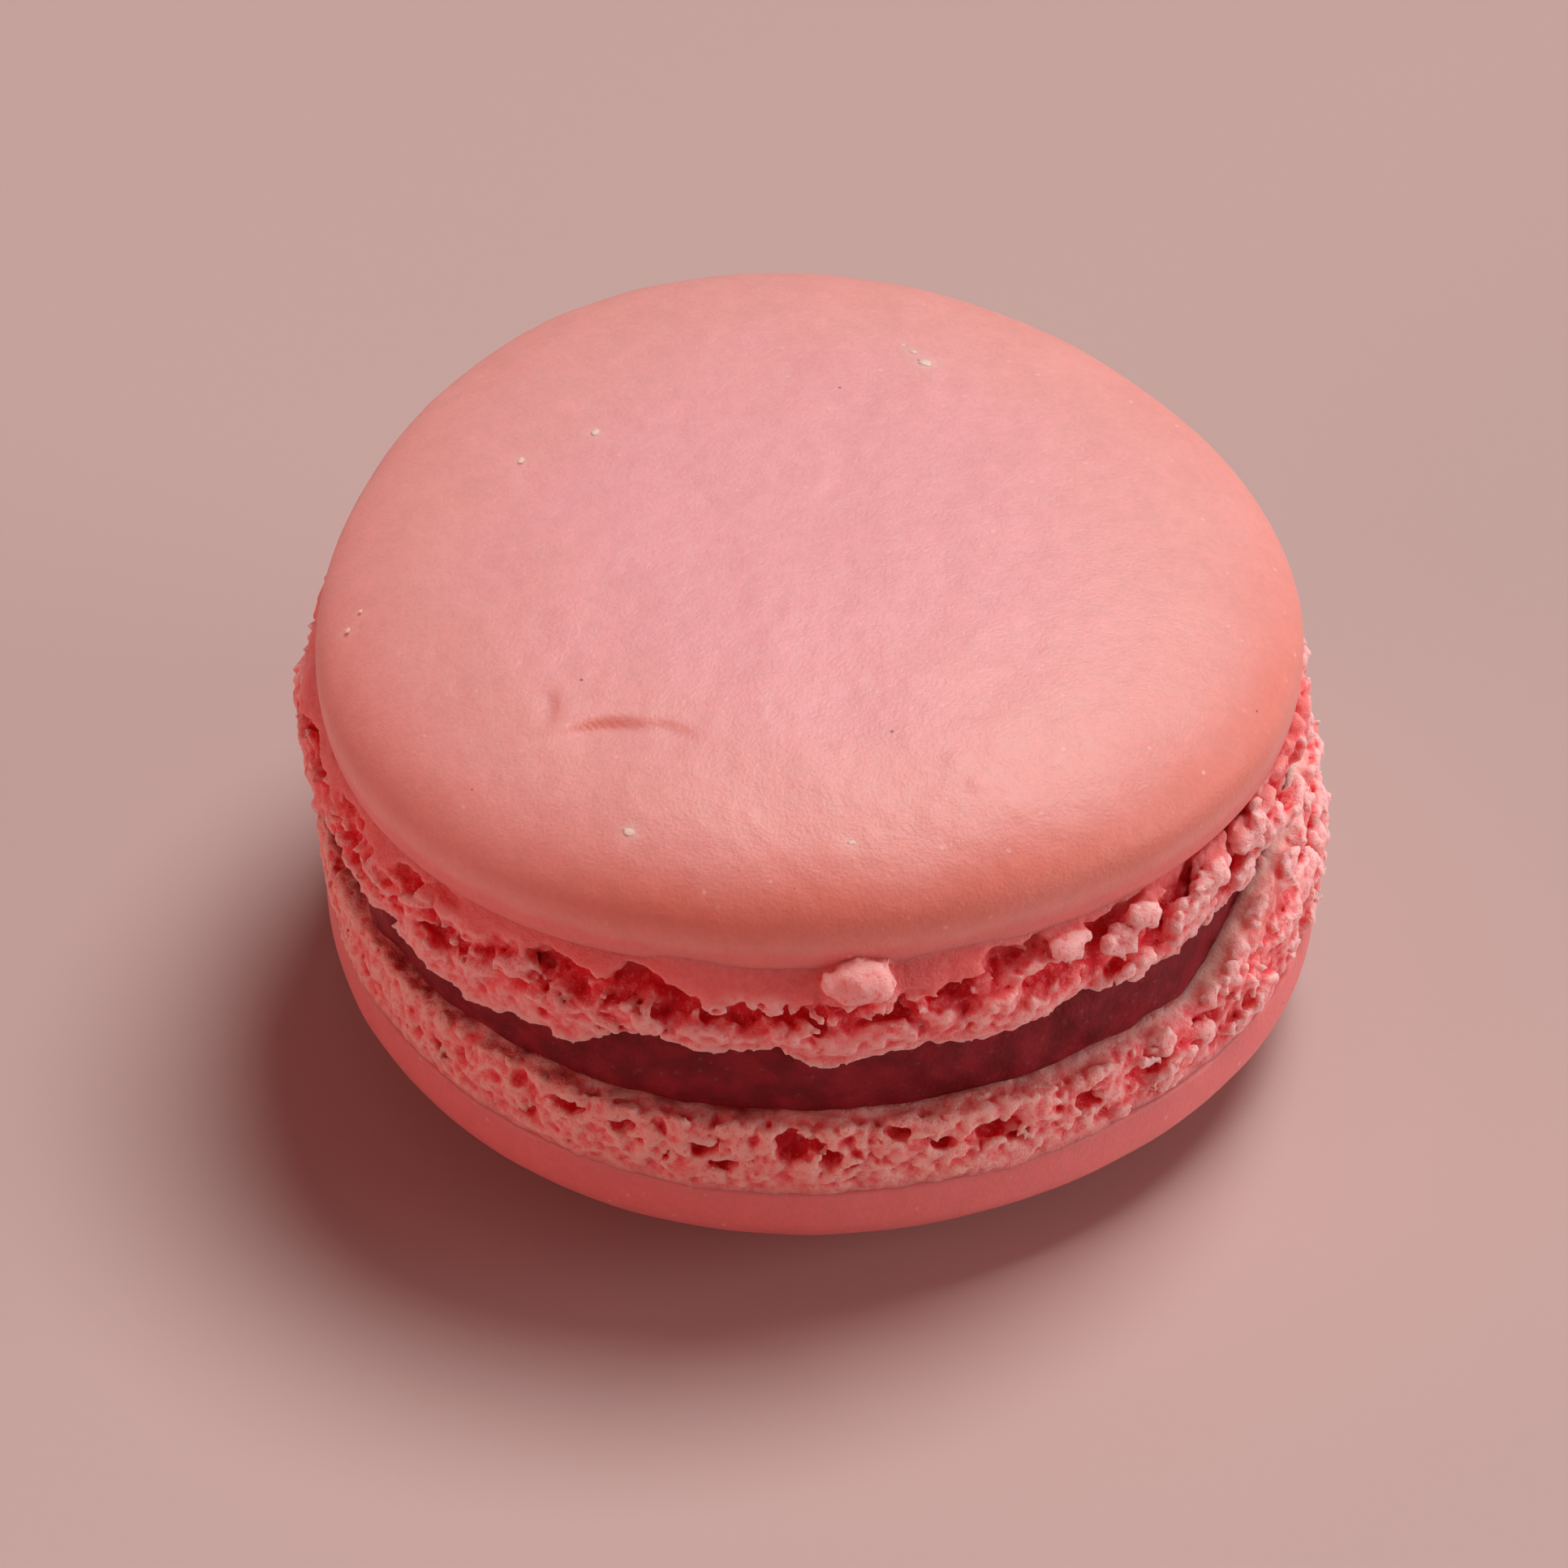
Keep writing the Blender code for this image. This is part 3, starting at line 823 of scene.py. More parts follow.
# Caves of the upper foot: bearing in degrees, height, half width, half height, depth.
UPPER_CAVES = (
    (-165.0, 17.6, 1.8, 0.65, 1.2),
    (-152.0, 17.9, 1.2, 0.6, 1.0),
    (-139.0, 18.0, 1.0, 0.6, 1.0),
    (-134.0, 18.3, 0.9, 0.35, 0.8),
    (-132.5, 16.0, 1.1, 0.5, 0.9),
    (-117.0, 17.5, 1.4, 0.8, 1.5),
    (-108.0, 17.9, 1.3, 0.9, 1.9),
    (-103.6, 17.1, 1.0, 0.9, 1.7),
    (-97.5, 16.7, 1.3, 0.6, 1.6),
    (-91.0, 16.5, 1.8, 0.55, 1.5),
    (-77.5, 16.5, 1.0, 0.5, 1.2),
    (-72.0, 17.1, 1.0, 0.5, 1.3),
    (-65.5, 18.2, 1.0, 0.7, 1.5),
    (-61.0, 18.4, 0.7, 0.5, 1.2),
    (-52.0, 17.8, 0.7, 0.5, 1.2),
    (60.0, 17.4, 1.6, 0.7, 1.3),
    (84.0, 17.8, 1.2, 0.6, 1.3),
    (105.0, 17.1, 1.5, 0.7, 1.3),
    (128.0, 17.7, 1.1, 0.6, 1.2),
    (150.0, 17.5, 1.5, 0.6, 1.3),
    (175.0, 17.6, 1.3, 0.5, 1.2),
)

# Lumps of the upper foot: bearing, height, half width, half height, depth.
UPPER_LUMPS = (
    (-82.8, 18.7, 1.7, 1.0, 1.0),
    (-57.5, 18.0, 1.0, 0.8, 0.6),
    (-47.5, 18.0, 1.0, 0.8, 0.6),
    (-36.0, 17.2, 1.2, 1.1, 0.6),
    (-26.0, 17.6, 0.9, 1.5, 0.6),
)

# The upper lip hangs lower or higher here: bearing, half width, drop.
LIP_SWAGS = (
    (-128.0, 4.6, 1.1),
    (-115.5, 1.7, 1.0),
    (-98.0, 1.2, 0.5),
    (-86.0, 1.7, 1.3),
    (-76.0, 1.9, 0.6),
    (-66.0, 3.0, 0.6),
    (-45.0, 3.5, 0.7),
    (-28.0, 3.0, 0.6),
)

# Caves of the lower foot, in the same order of values as the upper ones.
LOWER_CAVES = (
    (-123.7, 7.7, 0.5, 0.35, 0.6),
    (-118.8, 9.1, 0.5, 0.35, 0.6),
    (-111.8, 9.0, 0.5, 0.3, 0.6),
    (-102.4, 8.6, 0.55, 0.35, 0.7),
    (-99.9, 7.8, 0.5, 0.3, 0.6),
    (-91.2, 9.0, 1.1, 0.6, 1.0),
    (-87.6, 8.2, 0.5, 0.35, 0.7),
    (-79.9, 9.5, 0.5, 0.3, 0.6),
    (-74.6, 8.6, 0.5, 0.35, 0.7),
    (-68.0, 8.6, 1.1, 0.5, 0.9),
    (-65.0, 7.9, 0.4, 0.25, 0.6),
    (-55.4, 8.3, 0.6, 0.35, 0.7),
    (-46.4, 8.5, 0.6, 0.4, 0.7),
    (-36.9, 8.6, 0.5, 0.35, 0.6),
    (-8.0, 10.4, 1.0, 0.6, 0.8),
    (80.0, 8.6, 1.0, 0.5, 0.8),
    (170.0, 8.4, 1.0, 0.5, 0.8),
)
LOWER_LUMPS = (
    (-30.0, 9.3, 1.1, 0.8, 0.5),
    (-18.0, 9.9, 1.0, 0.9, 0.5),
    (0.0, 10.6, 1.2, 1.0, 0.5),
)

# How deep the middles of caves and of lumps lie below the widest of a foot, in millimetres.
CAVE_SET_BACK = 0.3
LUMP_SET_BACK = 0.4
LUMP_RAGGEDNESS = 0.55

# A foot grips the plug inside it by this much, in millimetres.
PLUG_GRIP = 0.4

# The volumes that the feet are grown in, and the most triangles that one keeps.
FOAM_REACH = 23.6 * MM
UPPER_FOAM_LEVELS = (12.6 * MM, 20.2 * MM)
LOWER_FOAM_LEVELS = (5.2 * MM, 13.6 * MM)
MOST_TRIANGLES = 195000

# An island of fewer points than this is a sealed bubble or a loose grain.
SMALLEST_ISLAND = 3000

# Rounds of smoothing that give the surroundings a crest stands above.
CREST_SMOOTHING = 8

# Moves the colour of a noise to lie about zero.
ABOUT_ZERO = (-0.5, -0.5, -0.5)


class Foot:
    """The field of a foot: distance outside its surface, in millimetres, at every place."""

    def __init__(self, board, ring, share):
        self.board = board
        position = board.add("GeometryNodeInputPosition", {}, {})
        self.place = position.scaled(1.0 / MM)
        drift = board.noise(self.place, 1.6, 2.0, output="Color").moved(ABOUT_ZERO)
        self.adrift = self.place.moved(drift.scaled(1.5))
        self.settled = self.place.moved(drift.scaled(0.6))
        torn = board.noise(self.place, 1.3, 3.0, 0.65, output="Color").moved(ABOUT_ZERO)
        self.drift_along, self.drift_up, self.drift_out = torn.scaled(3.2).parts()
        across, ahead, self.height, reach = from_centre(self.place, ring)
        self.bearing = board.math("ARCTAN2", ahead, across)
        factor = 1.0
        for count, wave, turn in ring.waves:
            factor = factor + share * wave * ((self.bearing - turn) * count).math("COSINE")
        self.reach = reach / factor
        self.distance = self.reach
        past = self.turn_to(PINCH_BEARING)
        start = [math.radians(angle) for angle in PINCH_START]
        end = [math.radians(angle) for angle in PINCH_END]
        self.pinch = past.rise(*start) * past.rise(*end)
        facing = (self.bearing - math.radians(PINCH_BEARING)).math("COSINE")
        self.grainy = facing.rise(-0.2, 0.9)
        self.lumpy = facing.rise(0.22, 0.55)

    def belly(self, widest, low, high, arch):
        """Radius of the foot's side at every height."""
        start, end = arch
        share = ((self.height - low) / (high - low)).math("MINIMUM", 1.1).math("MAXIMUM", -0.1)
        return widest - BELLY_DEPTH * (1.0 - ((share * (end - start) + start) * math.pi).math("SINE"))

    def turn_to(self, degrees):
        """Signed angle from a bearing, in radians."""
        turn = self.bearing - math.radians(degrees)
        return self.board.math("WRAP", turn, math.pi, -math.pi)

    def blob(self, spot, surface, raggedness=1.0):
        """Signed distance from an uneven lump that sits on the foot's surface."""
        degrees, height, half_width, half_height, depth = spot
        torn = min(1.0, half_width / 1.5) * raggedness
        along = (self.turn_to(degrees) * surface + self.drift_along * torn) / half_width
        up = (self.height - height + self.drift_up * (0.6 * torn)) / half_height
        out = (self.reach - surface + self.drift_out * (0.5 * torn)) / depth
        size = min(half_width, half_height, depth)
        return ((along.squared() + up.squared() + out.squared()) ** 0.5 - 1.0) * size

    def rough_out(self, side, *faces):
        """Start from a ring with a given side, cut by faces, each with the softness of its edge."""
        self.distance = self.reach - side
        for face, softness in faces:
            self.distance = self.distance.math("SMOOTH_MAX", face, softness)
        self.distance = self.distance.math("MAXIMUM", (PLUG_RADIUS / MM - PLUG_GRIP) - self.reach)

    def carve(self, hollow, softness):
        """Cut a hollow, given by its signed distance, out of the foot."""
        self.distance = self.distance.math("SMOOTH_MAX", hollow * -1.0, softness)

    def pile(self, lump, softness):
        """Add a lump, given by its signed distance, to the foot."""
        self.distance = self.distance.math("SMOOTH_MIN", lump, softness)

    def nodules(self, width, radius, where, seed, limit, softness):
        """Pack rounded nodules onto the surface, kept within a limit, where a mask lets them grow."""
        cell = self.board.cells(self.settled.moved(seed), width)
        luck = cell_colour(cell).parts()[1] * 0.4 + 0.8
        ball = (cell * width - luck * where * radius).math("SMOOTH_MAX", limit, 0.5)
        self.pile(ball, softness)

    def dents(self, width, depth, where, seed):
        """Sink one shallow dent in each of many cells, deeper in some, where a mask lets them."""
        cell = self.board.cells(self.adrift.moved(seed), width)
        luck = cell_colour(cell).parts()[0]
        self.distance = self.distance + cell.rise(0.42, 0.08) * luck * where * depth

    def tear(self, wavelength, depth, where, seed):
        """Tear ragged openings into the surface, where a mask lets them."""
        flat = self.place.moved(seed).times((1.0, 1.0, 1.7))
        rags = self.board.noise(flat, wavelength, 3.0, 0.55)
        self.distance = self.distance + rags.rise(0.43, 0.65) * where * depth

    def grains(self, width, height):
        """Swell the surface into packed grains with creases between them."""
        self.distance = self.distance + (self.board.cells(self.settled, width).squared() - 0.2) * height

    def ripple(self, wavelength, height, seed, detail=1.0):
        """Move the surface in and out by soft noise."""
        wave = self.board.noise(self.place.moved(seed), wavelength, detail) - 0.5
        self.distance = self.distance - wave * height


def upper_foot_field(board, sizes):
    """The upper foot: a skirt of skin, a row of caves below it and a ragged hanging lip."""
    foot = Foot(board, UPPER_WIDEST, UPPER_FOOT_SHARE)
    widest = UPPER_WIDEST.radius / MM + sizes.foot_overhang / MM
    low = UPPER_UNDERSIDE.height / MM
    high = UPPER_SKIN_EDGE.height / MM
    side = foot.belly(widest, low, high, UPPER_BELLY)
    out = foot.reach.rise(widest - 1.9, widest - 0.9)
    drop = foot.pinch * PINCH_HANG
    drop = drop + (board.noise(foot.place.moved((0, 0, 50)), 4.0) - 0.5) * (sizes.lip_wave / MM)
    drop = drop + (board.noise(foot.place.moved((0, 9, 50)), 0.9) - 0.5) * 0.7
    for degrees, half_width, depth in LIP_SWAGS:
        drop = drop + (foot.turn_to(degrees) * widest).hill(0.0, half_width) * depth
    bottom = out * drop * -1.0 + low
    top = board.noise(foot.place.moved((4, 0, 0)), 2.0) * 0.9 + foot.grainy * 0.25 + (high + 0.35)
    foot.rough_out(side, (bottom - foot.height, 0.3), (foot.height - top, 0.3))
    foot.ripple(5.0, 1.1 * out, (3, 0, 0))
    envelope = foot.distance
    skirt = board.noise(foot.place.moved((0, 30, 0)), 1.8, 2.0) * 1.4 + foot.grainy * 1.0 + (high - 1.75)
    below_skirt = (foot.height - skirt).rise(0.25, -0.25)
    above_lip = foot.height.rise(low - 0.8, low + 1.1) * 0.7 + 0.3
    rough = out * (below_skirt * 0.85 + 0.15) * above_lip
    groove = (foot.height - skirt).hill(-1.1, 0.85) * out
    foot.tear(1.9, sizes.groove_depth / MM, groove, (20, 0, 7))
    for spot in UPPER_CAVES:
        foot.carve(foot.blob(spot, widest - CAVE_SET_BACK), 0.2)
    foot.distance = foot.distance + foot.lumpy * rough * 0.9
    foot.nodules(2.1, 1.25, foot.lumpy * rough, (31, 5, 2), envelope - 0.1, 0.12)
    for spot in UPPER_LUMPS:
        foot.pile(foot.blob(spot, widest - LUMP_SET_BACK, LUMP_RAGGEDNESS), 0.3)
    foot.grains(1.35, 0.45 * rough)
    foot.grains(0.62, 0.5 * rough)
    foot.ripple(0.9, (0.6 - foot.lumpy * 0.3) * rough, (6, 0, 0), 3.0)
    foot.dents(1.15, 0.9, (1.0 - foot.lumpy * 0.85) * rough, (5, 2, 8))
    foot.dents(0.55, 0.45, (1.0 - foot.lumpy * 0.5) * rough, (9, 4, 1))
    foot.ripple(0.36, 0.05 + 0.22 * below_skirt, (1, 1, 1), 2.0)
    return foot, envelope


def lower_foot_field(board, sizes):
    """The lower foot: dense crumb with small pits and a pale rim round the filling."""
    foot = Foot(board, LOWER_WIDEST, LOWER_FOOT_SHARE)
    widest = LOWER_WIDEST.radius / MM + sizes.lower_overhang / MM
    low = LOWER_SKIN_EDGE.height / MM
    high = LOWER_TOP.height / MM
    side = foot.belly(widest, low, high, LOWER_BELLY)
    out = foot.reach.rise(widest - 1.5, widest - 0.6)
    rise = foot.pinch * PINCH_RISE + (board.noise(foot.place.moved((0, 0, 50)), 4.0) - 0.5) * 0.5 - 0.35
    beyond_jam = foot.reach.rise(JAM_REACH - 1.2, JAM_REACH - 0.3)
    top = beyond_jam * rise + high + (board.noise(foot.place.moved((0, 9, 50)), 0.8) - 0.5) * 0.35
    bottom = low - 0.25 - board.noise(foot.place.moved((4, 0, 0)), 2.5) * 0.5
    foot.rough_out(side, (foot.height - top, 0.35), (bottom - foot.height, 0.3))
    foot.ripple(4.0, 0.5 * out, (11, 0, 0))
    envelope = foot.distance
    for spot in LOWER_CAVES:
        foot.carve(foot.blob(spot, widest - CAVE_SET_BACK), 0.12)
    crumbly = out * (foot.height.rise(low - 0.3, low + 1.0) * 0.8 + 0.2)
    foot.distance = foot.distance + foot.lumpy * crumbly * 0.35
    foot.nodules(1.9, 1.0, foot.lumpy * crumbly, (31, 5, 2), envelope - 0.1, 0.25)
    for spot in LOWER_LUMPS:
        foot.pile(foot.blob(spot, widest - LUMP_SET_BACK, LUMP_RAGGEDNESS), 0.3)
    foot.grains(1.0, 0.35 * crumbly)
    foot.grains(0.5, 0.3 * crumbly)
    foot.ripple(0.8, 0.35 * crumbly, (6, 0, 0), 3.0)
    pitted = crumbly * foot.height.hill(low + 2.4, 1.5)
    foot.dents(1.1, 0.8, pitted, (1, 2, 3))
    foot.dents(0.52, 0.4, (1.0 - foot.grainy * 0.4) * crumbly, (9, 4, 1))
    foot.ripple(0.34, 0.2, (1, 1, 1), 2.0)
    return foot, envelope


def crest_height(board):
    """How far each point of a mesh stands above its smoothed surroundings, in millimetres."""
    position = board.add("GeometryNodeInputPosition", {}, {})
    sockets = {"Value": position, "Iterations": CREST_SMOOTHING}
    smooth = board.add("GeometryNodeBlurAttribute", {"data_type": "FLOAT_VECTOR"}, sockets)
    rise = position.moved(smooth.scaled(-1.0)).scaled(1.0 / MM)
    facing = board.add("GeometryNodeInputNormal", {}, {})
    return board.add("ShaderNodeVectorMath", {"operation": "DOT_PRODUCT"}, {0: rise, 1: facing}, "Value")


def store(board, mesh, name, value):
    """Store a number on every point of a mesh in a node tree."""
    settings = {"data_type": "FLOAT", "domain": "POINT"}
    sockets = {"Geometry": mesh, "Name": name, "Value": value}
    return board.add("GeometryNodeStoreNamedAttribute", settings, sockets)


def grow_foam(name, field, sizes, levels):
    """Fill a volume with a foot's field, take its surface and keep its one main island."""
    deselect_all()
    bpy.ops.mesh.primitive_plane_add(size=MM)
    piece = bpy.context.object
    piece.name = name
    tree = bpy.data.node_groups.new(name, "GeometryNodeTree")
    tree.interface.new_socket("Geometry", in_out="OUTPUT", socket_type="NodeSocketGeometry")
    board = Board(tree)
    foot, envelope = field(board, sizes)
    low = (-FOAM_REACH, -FOAM_REACH, levels[0])
    high = (FOAM_REACH, FOAM_REACH, levels[1])
    step = sizes.foam_detail * 1.0
    sockets = {"Density": 0.5 - foot.distance, "Background": 0.0, "Min": low, "Max": high}
    for axis, start, end in zip("XYZ", low, high):
        sockets["Resolution " + axis] = round((end - start) / step)
    volume = board.add("GeometryNodeVolumeCube", {}, sockets)
    sockets = {"Volume": volume, "Threshold": 0.5, "Adaptivity": 0.0}
    mesh = board.add("GeometryNodeVolumeToMesh", {"resolution_mode": "GRID"}, sockets)
    island = board.add("GeometryNodeInputMeshIsland", {}, {}, "Island Index")
    counted = {"Value": 1.0, "Group ID": island}
    crowd = board.add("GeometryNodeAccumulateField", {"data_type": "FLOAT"}, counted, "Total")
    small = board.math("LESS_THAN", crowd, SMALLEST_ISLAND)
    sockets = {"Geometry": mesh, "Selection": small}
    mesh = board.add("GeometryNodeDeleteGeometry", {"domain": "POINT"}, sockets)
    # The depth below the envelope and the crest height let the finish paint shade in hollows and
    # highlight on crests.
    mesh = store(board, mesh, "depth", envelope * -1.0)
    mesh = store(board, mesh, "crest", crest_height(board))
    end = tree.nodes.new("NodeGroupOutput")
    tree.links.new(mesh.socket, end.inputs[0])
    grow = piece.modifiers.new("grow foam", "NODES")
    grow.node_group = tree
    apply_modifiers(piece)
    thin_out(piece, MOST_TRIANGLES)
    return piece


def thin_out(piece, most):
    """Collapse the finest edges until a piece has at most so many triangles."""
    count = sum(len(face.vertices) - 2 for face in piece.data.polygons)
    if count > most:
        thin = piece.modifiers.new("thin out", "DECIMATE")
        thin.ratio = most / count
        apply_modifiers(piece)


def make_upper_foot(sizes, colours):
    """The upper shell's ruffled foot."""
    piece = grow_foam("upper_foot", upper_foot_field, sizes, UPPER_FOAM_LEVELS)
    low = UPPER_UNDERSIDE.height / MM
    edge = UPPER_SKIN_EDGE.height / MM
    skinned = (edge - 1.5, edge - 0.6)
    stained = (low + 0.4, low - 0.8)
    near_jam = (JAM_REACH + 0.6, JAM_REACH + 0.1)
    spread = (skinned, stained, near_jam)
    finish = foam_finish("baked foam", colours, colours.foam_tip_highlight, UPPER_WIDEST, *spread)
    finish_piece(piece, "upper_shell", finish, "upper_shell")


def make_lower_foot(sizes, colours):
    """The lower shell's low, dense foot."""
    piece = grow_foam("lower_foot", lower_foot_field, sizes, LOWER_FOAM_LEVELS)
    edge = LOWER_SKIN_EDGE.height / MM
    top = LOWER_TOP.height / MM
    skinned = (edge + 0.7, edge - 0.2)
    stained = (top - 0.9, top + 0.1)
    near_jam = (JAM_REACH + 1.3, JAM_REACH + 0.3)
    spread = (skinned, stained, near_jam)
    finish = foam_finish("baked foam, lower", colours, colours.lower_tip_highlight, LOWER_WIDEST, *spread)
    finish_piece(piece, "lower_shell", finish, "lower_shell")


# --- Almond flecks ----------------------------------------------------------------------------

# A flake is a sphere, made this much longer, narrower and flatter.
FLAKE_SHAPE = (1.1, 0.8, 0.16)


def crown_point(across, ahead):
    """The place on the dome above a point of the plan, and the way its surface faces."""

    def height(x, y):
        spoke = Vector((x, y, 0.0)) - UPPER_WIDEST.centre
        bearing = math.atan2(spoke.y, spoke.x)
        share = spoke.length / (UPPER_WIDEST.radius * outline(UPPER_WIDEST, bearing))
        return UPPER_WIDEST.height + (CROWN_TOP - UPPER_WIDEST.height) * float(dome_height(share))

    step = 0.1 * MM
    slope_x = (height(across + step, ahead) - height(across - step, ahead)) / (2 * step)
    slope_y = (height(across, ahead + step) - height(across, ahead - step)) / (2 * step)
    spot = Vector((across, ahead, height(across, ahead)))
    spot.z += crown_swell([spot])[0]
    return spot, Vector((-slope_x, -slope_y, 1.0)).normalized()


def make_flecks(sizes, colours):
    """Flakes of ground almond, half sunk in the crown."""
    deselect_all()
    flakes = []
    for number, (across, ahead, share) in enumerate(FLECKS):
        spot, facing = crown_point(across * MM, ahead * MM)
        bpy.ops.mesh.primitive_ico_sphere_add(subdivisions=2, radius=share * sizes.fleck_width / 2)
        flake = bpy.context.object
        turn = facing.to_track_quat("Z", "Y").to_matrix()
        seed = Vector((number * 3.0, 1.0, 2.0))
        for point in flake.data.vertices:
            uneven = 1.0 + 0.6 * noise.noise(point.co / (0.25 * MM) + seed)
            flat = Vector(part * squash for part, squash in zip(point.co, FLAKE_SHAPE)) * uneven
            point.co = spot + turn @ flat
        flakes.append(flake)
    deselect_all()
    for flake in flakes:
        flake.select_set(True)
    bpy.context.view_layer.objects.active = flakes[0]
    bpy.ops.object.join()
    flakes[0].name = "almond_flecks"
    finish_piece(flakes[0], "upper_shell", almond_finish("ground almond", colours))


# --- Stage ------------------------------------------------------------------------------------

# The camera looks along y from the front, with its angles in degrees.
CAMERA_DISTANCE = 0.7
CAMERA_ELEVATION = 41.0
CAMERA_ROLL = 0.7
CAMERA_TARGET = (-0.0010, 0.0, 0.0112)
VIEW_WIDTH = 0.068
SENSOR_WIDTH = 36.0
FLOOR_WIDTH = 12.0

# Lights: the way they come from in degrees, bearing and elevation, their breadth, strength and colour.
KEY_LIGHT = ((46.0, 65.5), 30.0, 2.45, (1.0, 0.965, 0.95))
FRONT_FILL = ((-150.0, 10.0), 40.0, 1.15, (1.0, 0.41, 0.37))
SIDE_FILL = ((-8.0, 8.0), 40.0, 1.75, (1.0, 0.85, 0.85))

# The room, whose pale wall ends where the sine of the elevation is its top.
ROOM_COLOUR = (0.128, 0.064, 0.060)
WALL_COLOUR = (0.50, 0.315, 0.285)
WALL_TOP = 0.16


def polar(bearing, elevation, distance):
    """A point at a bearing, elevation and distance from the origin."""
    flat = distance * math.cos(math.radians(elevation))
    across = flat * math.cos(math.radians(bearing))
    ahead = flat * math.sin(math.radians(bearing))
    return Vector((across, ahead, distance * math.sin(math.radians(elevation))))


def add_light(name, way, breadth, strength, shade):
    """A soft light that comes from a bearing and an elevation, alike all over the table."""
    spot = polar(*way, 1.0)
    bpy.ops.object.light_add(type="SUN", location=spot)
    light = bpy.context.object
    light.name = name
    light.rotation_euler = spot.to_track_quat("Z", "Y").to_euler()
    light.data.angle = math.radians(breadth)
    light.data.energy = strength
    light.data.color = shade


def dim_room():
    """A dim warm room with a low pale wall all round."""
    world = bpy.data.worlds.new("dim room")
    world.use_nodes = True
    board = Board(world.node_tree)
    way = board.add("ShaderNodeTexCoord", {}, {}, "Generated")
    low = way.parts()[2].rise(WALL_TOP, WALL_TOP / 2)
    shade = board.blend(low, opaque(ROOM_COLOUR), opaque(WALL_COLOUR))
    board.plug(shade, world.node_tree.nodes["Background"].inputs["Color"])
    return world


def make_stage(colours):
    """A pale floor, a soft key light with two fills, a dim room and the camera."""
    scene = bpy.context.scene
    deselect_all()
    bpy.ops.mesh.primitive_plane_add(size=FLOOR_WIDTH, location=(0.0, 0.0, 0.0))
    floor = bpy.context.object
    floor.name = "floor"
    floor.data.materials.append(table_finish("pale table", colours))

    add_light("key light", *KEY_LIGHT)
    add_light("front fill light", *FRONT_FILL)
    add_light("side fill light", *SIDE_FILL)

    scene.world = dim_room()
    scene.view_settings.view_transform = "Standard"

    target = Vector(CAMERA_TARGET)
    bpy.ops.object.camera_add(location=target + polar(-90.0, CAMERA_ELEVATION, CAMERA_DISTANCE))
    camera = bpy.context.object
    upright = (camera.location - target).to_track_quat("Z", "Y").to_matrix().to_4x4()
    turned = upright @ Matrix.Rotation(math.radians(CAMERA_ROLL), 4, "Z")
    camera.rotation_euler = turned.to_euler()
    camera.data.sensor_width = SENSOR_WIDTH
    camera.data.lens = SENSOR_WIDTH * CAMERA_DISTANCE / VIEW_WIDTH
    scene.camera = camera


# --- Operators and panel ----------------------------------------------------------------------


class MakePiece:
    """What the operators share: each makes one piece from the scene's sizes and colours."""

    bl_options = {"REGISTER", "UNDO"}

    def execute(self, context):
        self.make(context.scene.macaron_sizes, context.scene.macaron_colours)
        return {"FINISHED"}


class MACARON_OT_upper_cap(MakePiece, bpy.types.Operator):
    """Make the smooth skin of the upper shell"""

    bl_idname = "macaron.upper_cap"
    bl_label = "Upper Cap"
    make = staticmethod(make_upper_cap)


class MACARON_OT_upper_foot(MakePiece, bpy.types.Operator):
    """Make the ruffled foot of the upper shell"""

    bl_idname = "macaron.upper_foot"
    bl_label = "Upper Foot"
    make = staticmethod(make_upper_foot)


class MACARON_OT_filling(MakePiece, bpy.types.Operator):
    """Make the jam between the shells"""

    bl_idname = "macaron.filling"
    bl_label = "Filling"
    make = staticmethod(make_filling)


class MACARON_OT_lower_foot(MakePiece, bpy.types.Operator):
    """Make the low foot of the lower shell"""

    bl_idname = "macaron.lower_foot"
    bl_label = "Lower Foot"
    make = staticmethod(make_lower_foot)


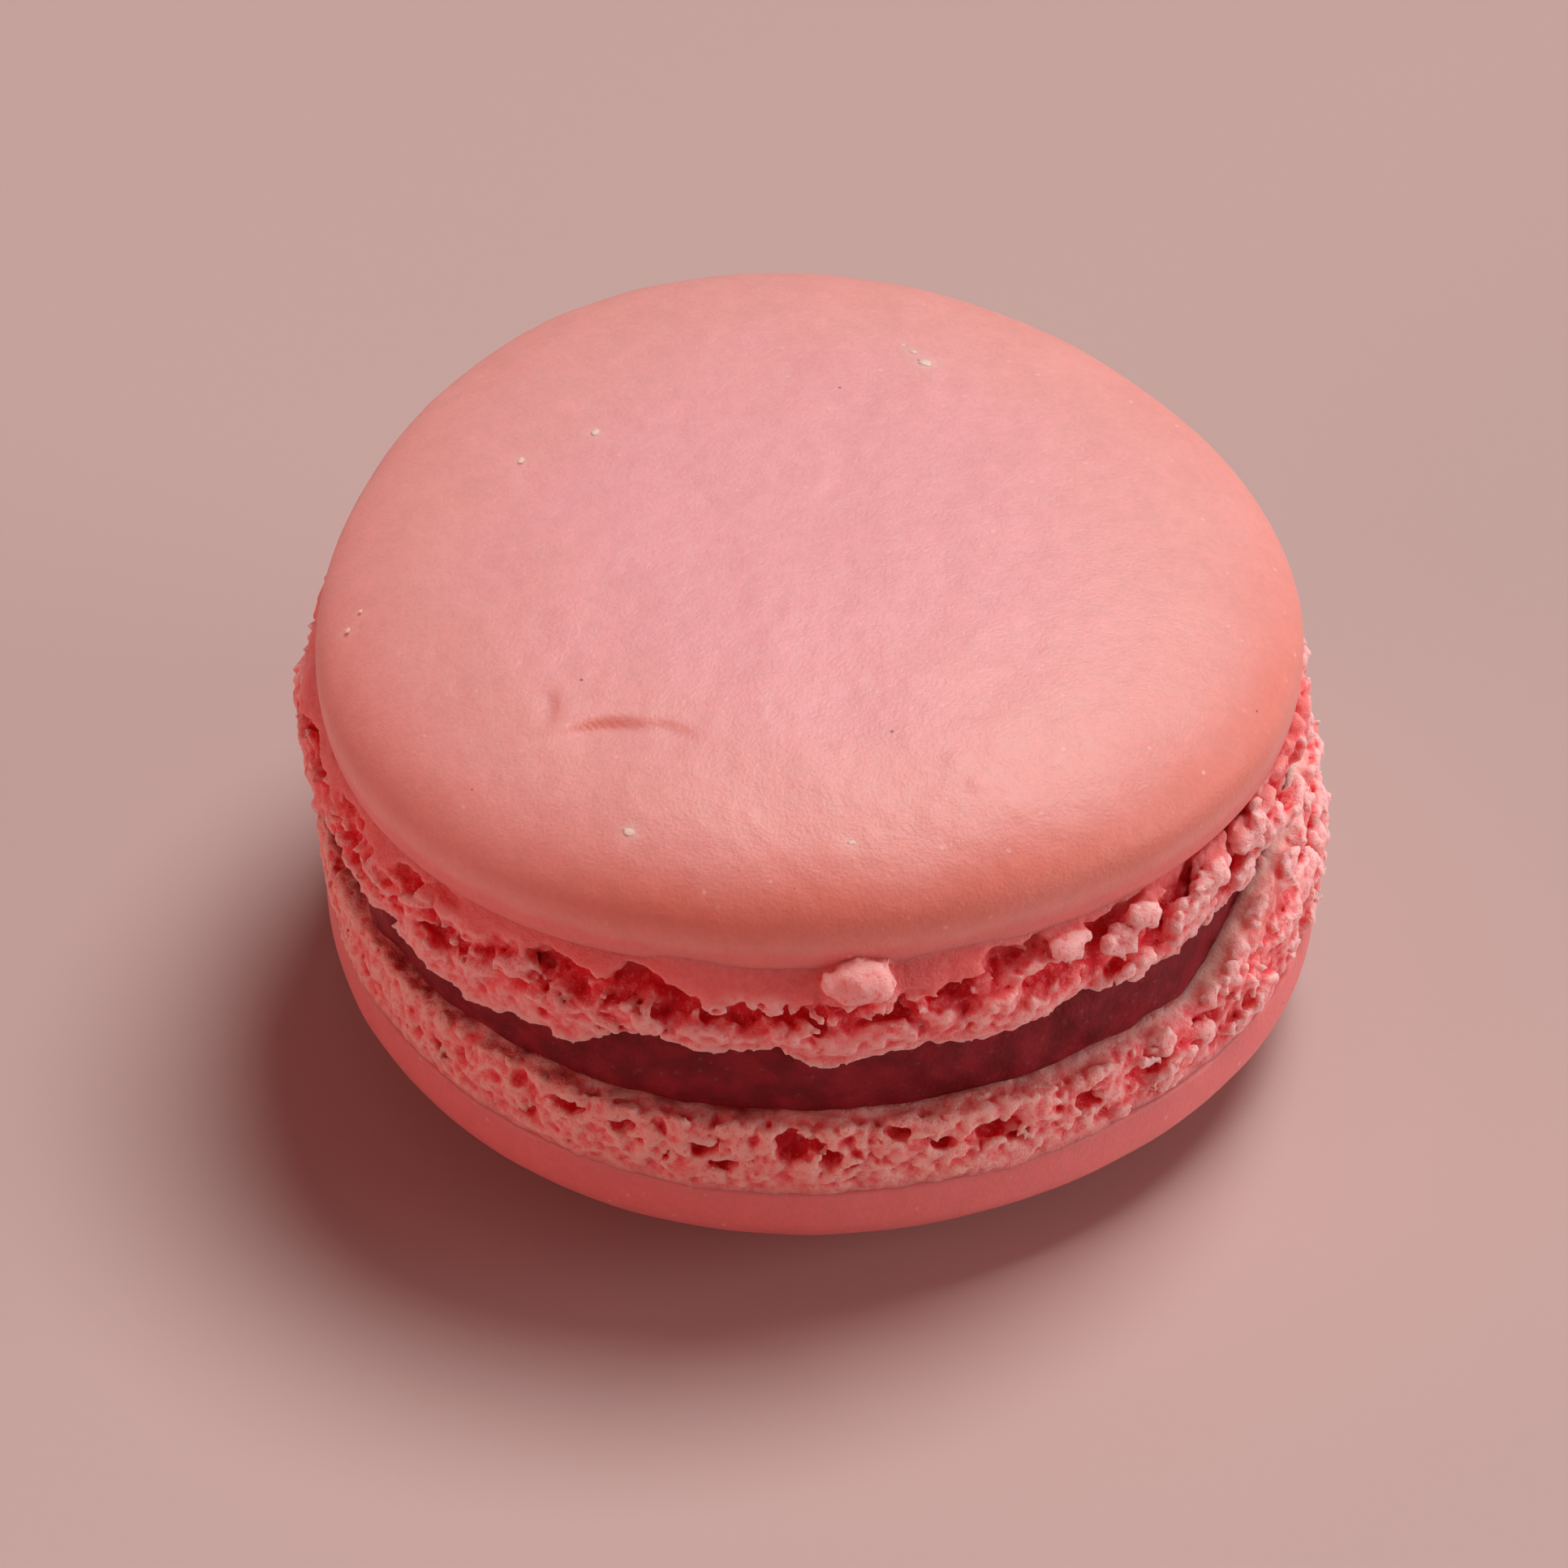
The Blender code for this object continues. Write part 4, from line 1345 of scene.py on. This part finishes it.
class MACARON_OT_lower_base(MakePiece, bpy.types.Operator):
    """Make the smooth skin that the macaron rests on"""

    bl_idname = "macaron.lower_base"
    bl_label = "Lower Base"
    make = staticmethod(make_lower_base)


class MACARON_OT_flecks(MakePiece, bpy.types.Operator):
    """Scatter flecks of almond on the crown"""

    bl_idname = "macaron.flecks"
    bl_label = "Almond Flecks"
    make = staticmethod(make_flecks)


class MACARON_OT_stage(bpy.types.Operator):
    """Set the table, the light and the camera"""

    bl_idname = "macaron.stage"
    bl_label = "Stage"

    def execute(self, context):
        make_stage(context.scene.macaron_colours)
        return {"FINISHED"}


OPERATORS = (
    MACARON_OT_lower_base,
    MACARON_OT_lower_foot,
    MACARON_OT_filling,
    MACARON_OT_upper_foot,
    MACARON_OT_upper_cap,
    MACARON_OT_flecks,
    MACARON_OT_stage,
)


class MACARON_PT_panel(bpy.types.Panel):
    """Sizes, colours and a button for each piece"""

    bl_label = "Macaron"
    bl_space_type = "VIEW_3D"
    bl_region_type = "UI"
    bl_category = "Macaron"

    def draw(self, context):
        for settings in (context.scene.macaron_sizes, context.scene.macaron_colours):
            for key in settings.__annotations__:
                self.layout.prop(settings, key)
        for operator in OPERATORS:
            self.layout.operator(operator.bl_idname)


CLASSES = (MacaronSizes, MacaronColours, *OPERATORS, MACARON_PT_panel)


def register():
    """Register the classes and hang both property groups on the scene."""
    for item in CLASSES:
        bpy.utils.register_class(item)
    bpy.types.Scene.macaron_sizes = bpy.props.PointerProperty(type=MacaronSizes)
    bpy.types.Scene.macaron_colours = bpy.props.PointerProperty(type=MacaronColours)


def unregister():
    """Take everything off again."""
    del bpy.types.Scene.macaron_colours
    del bpy.types.Scene.macaron_sizes
    for item in reversed(CLASSES):
        bpy.utils.unregister_class(item)


def main():
    """Register the add-on, build every piece in order and set the stage."""
    register()
    bpy.ops.macaron.lower_base()
    bpy.ops.macaron.lower_foot()
    bpy.ops.macaron.filling()
    bpy.ops.macaron.upper_foot()
    bpy.ops.macaron.upper_cap()
    bpy.ops.macaron.flecks()
    bpy.ops.macaron.stage()


if __name__ == "__main__":
    main()
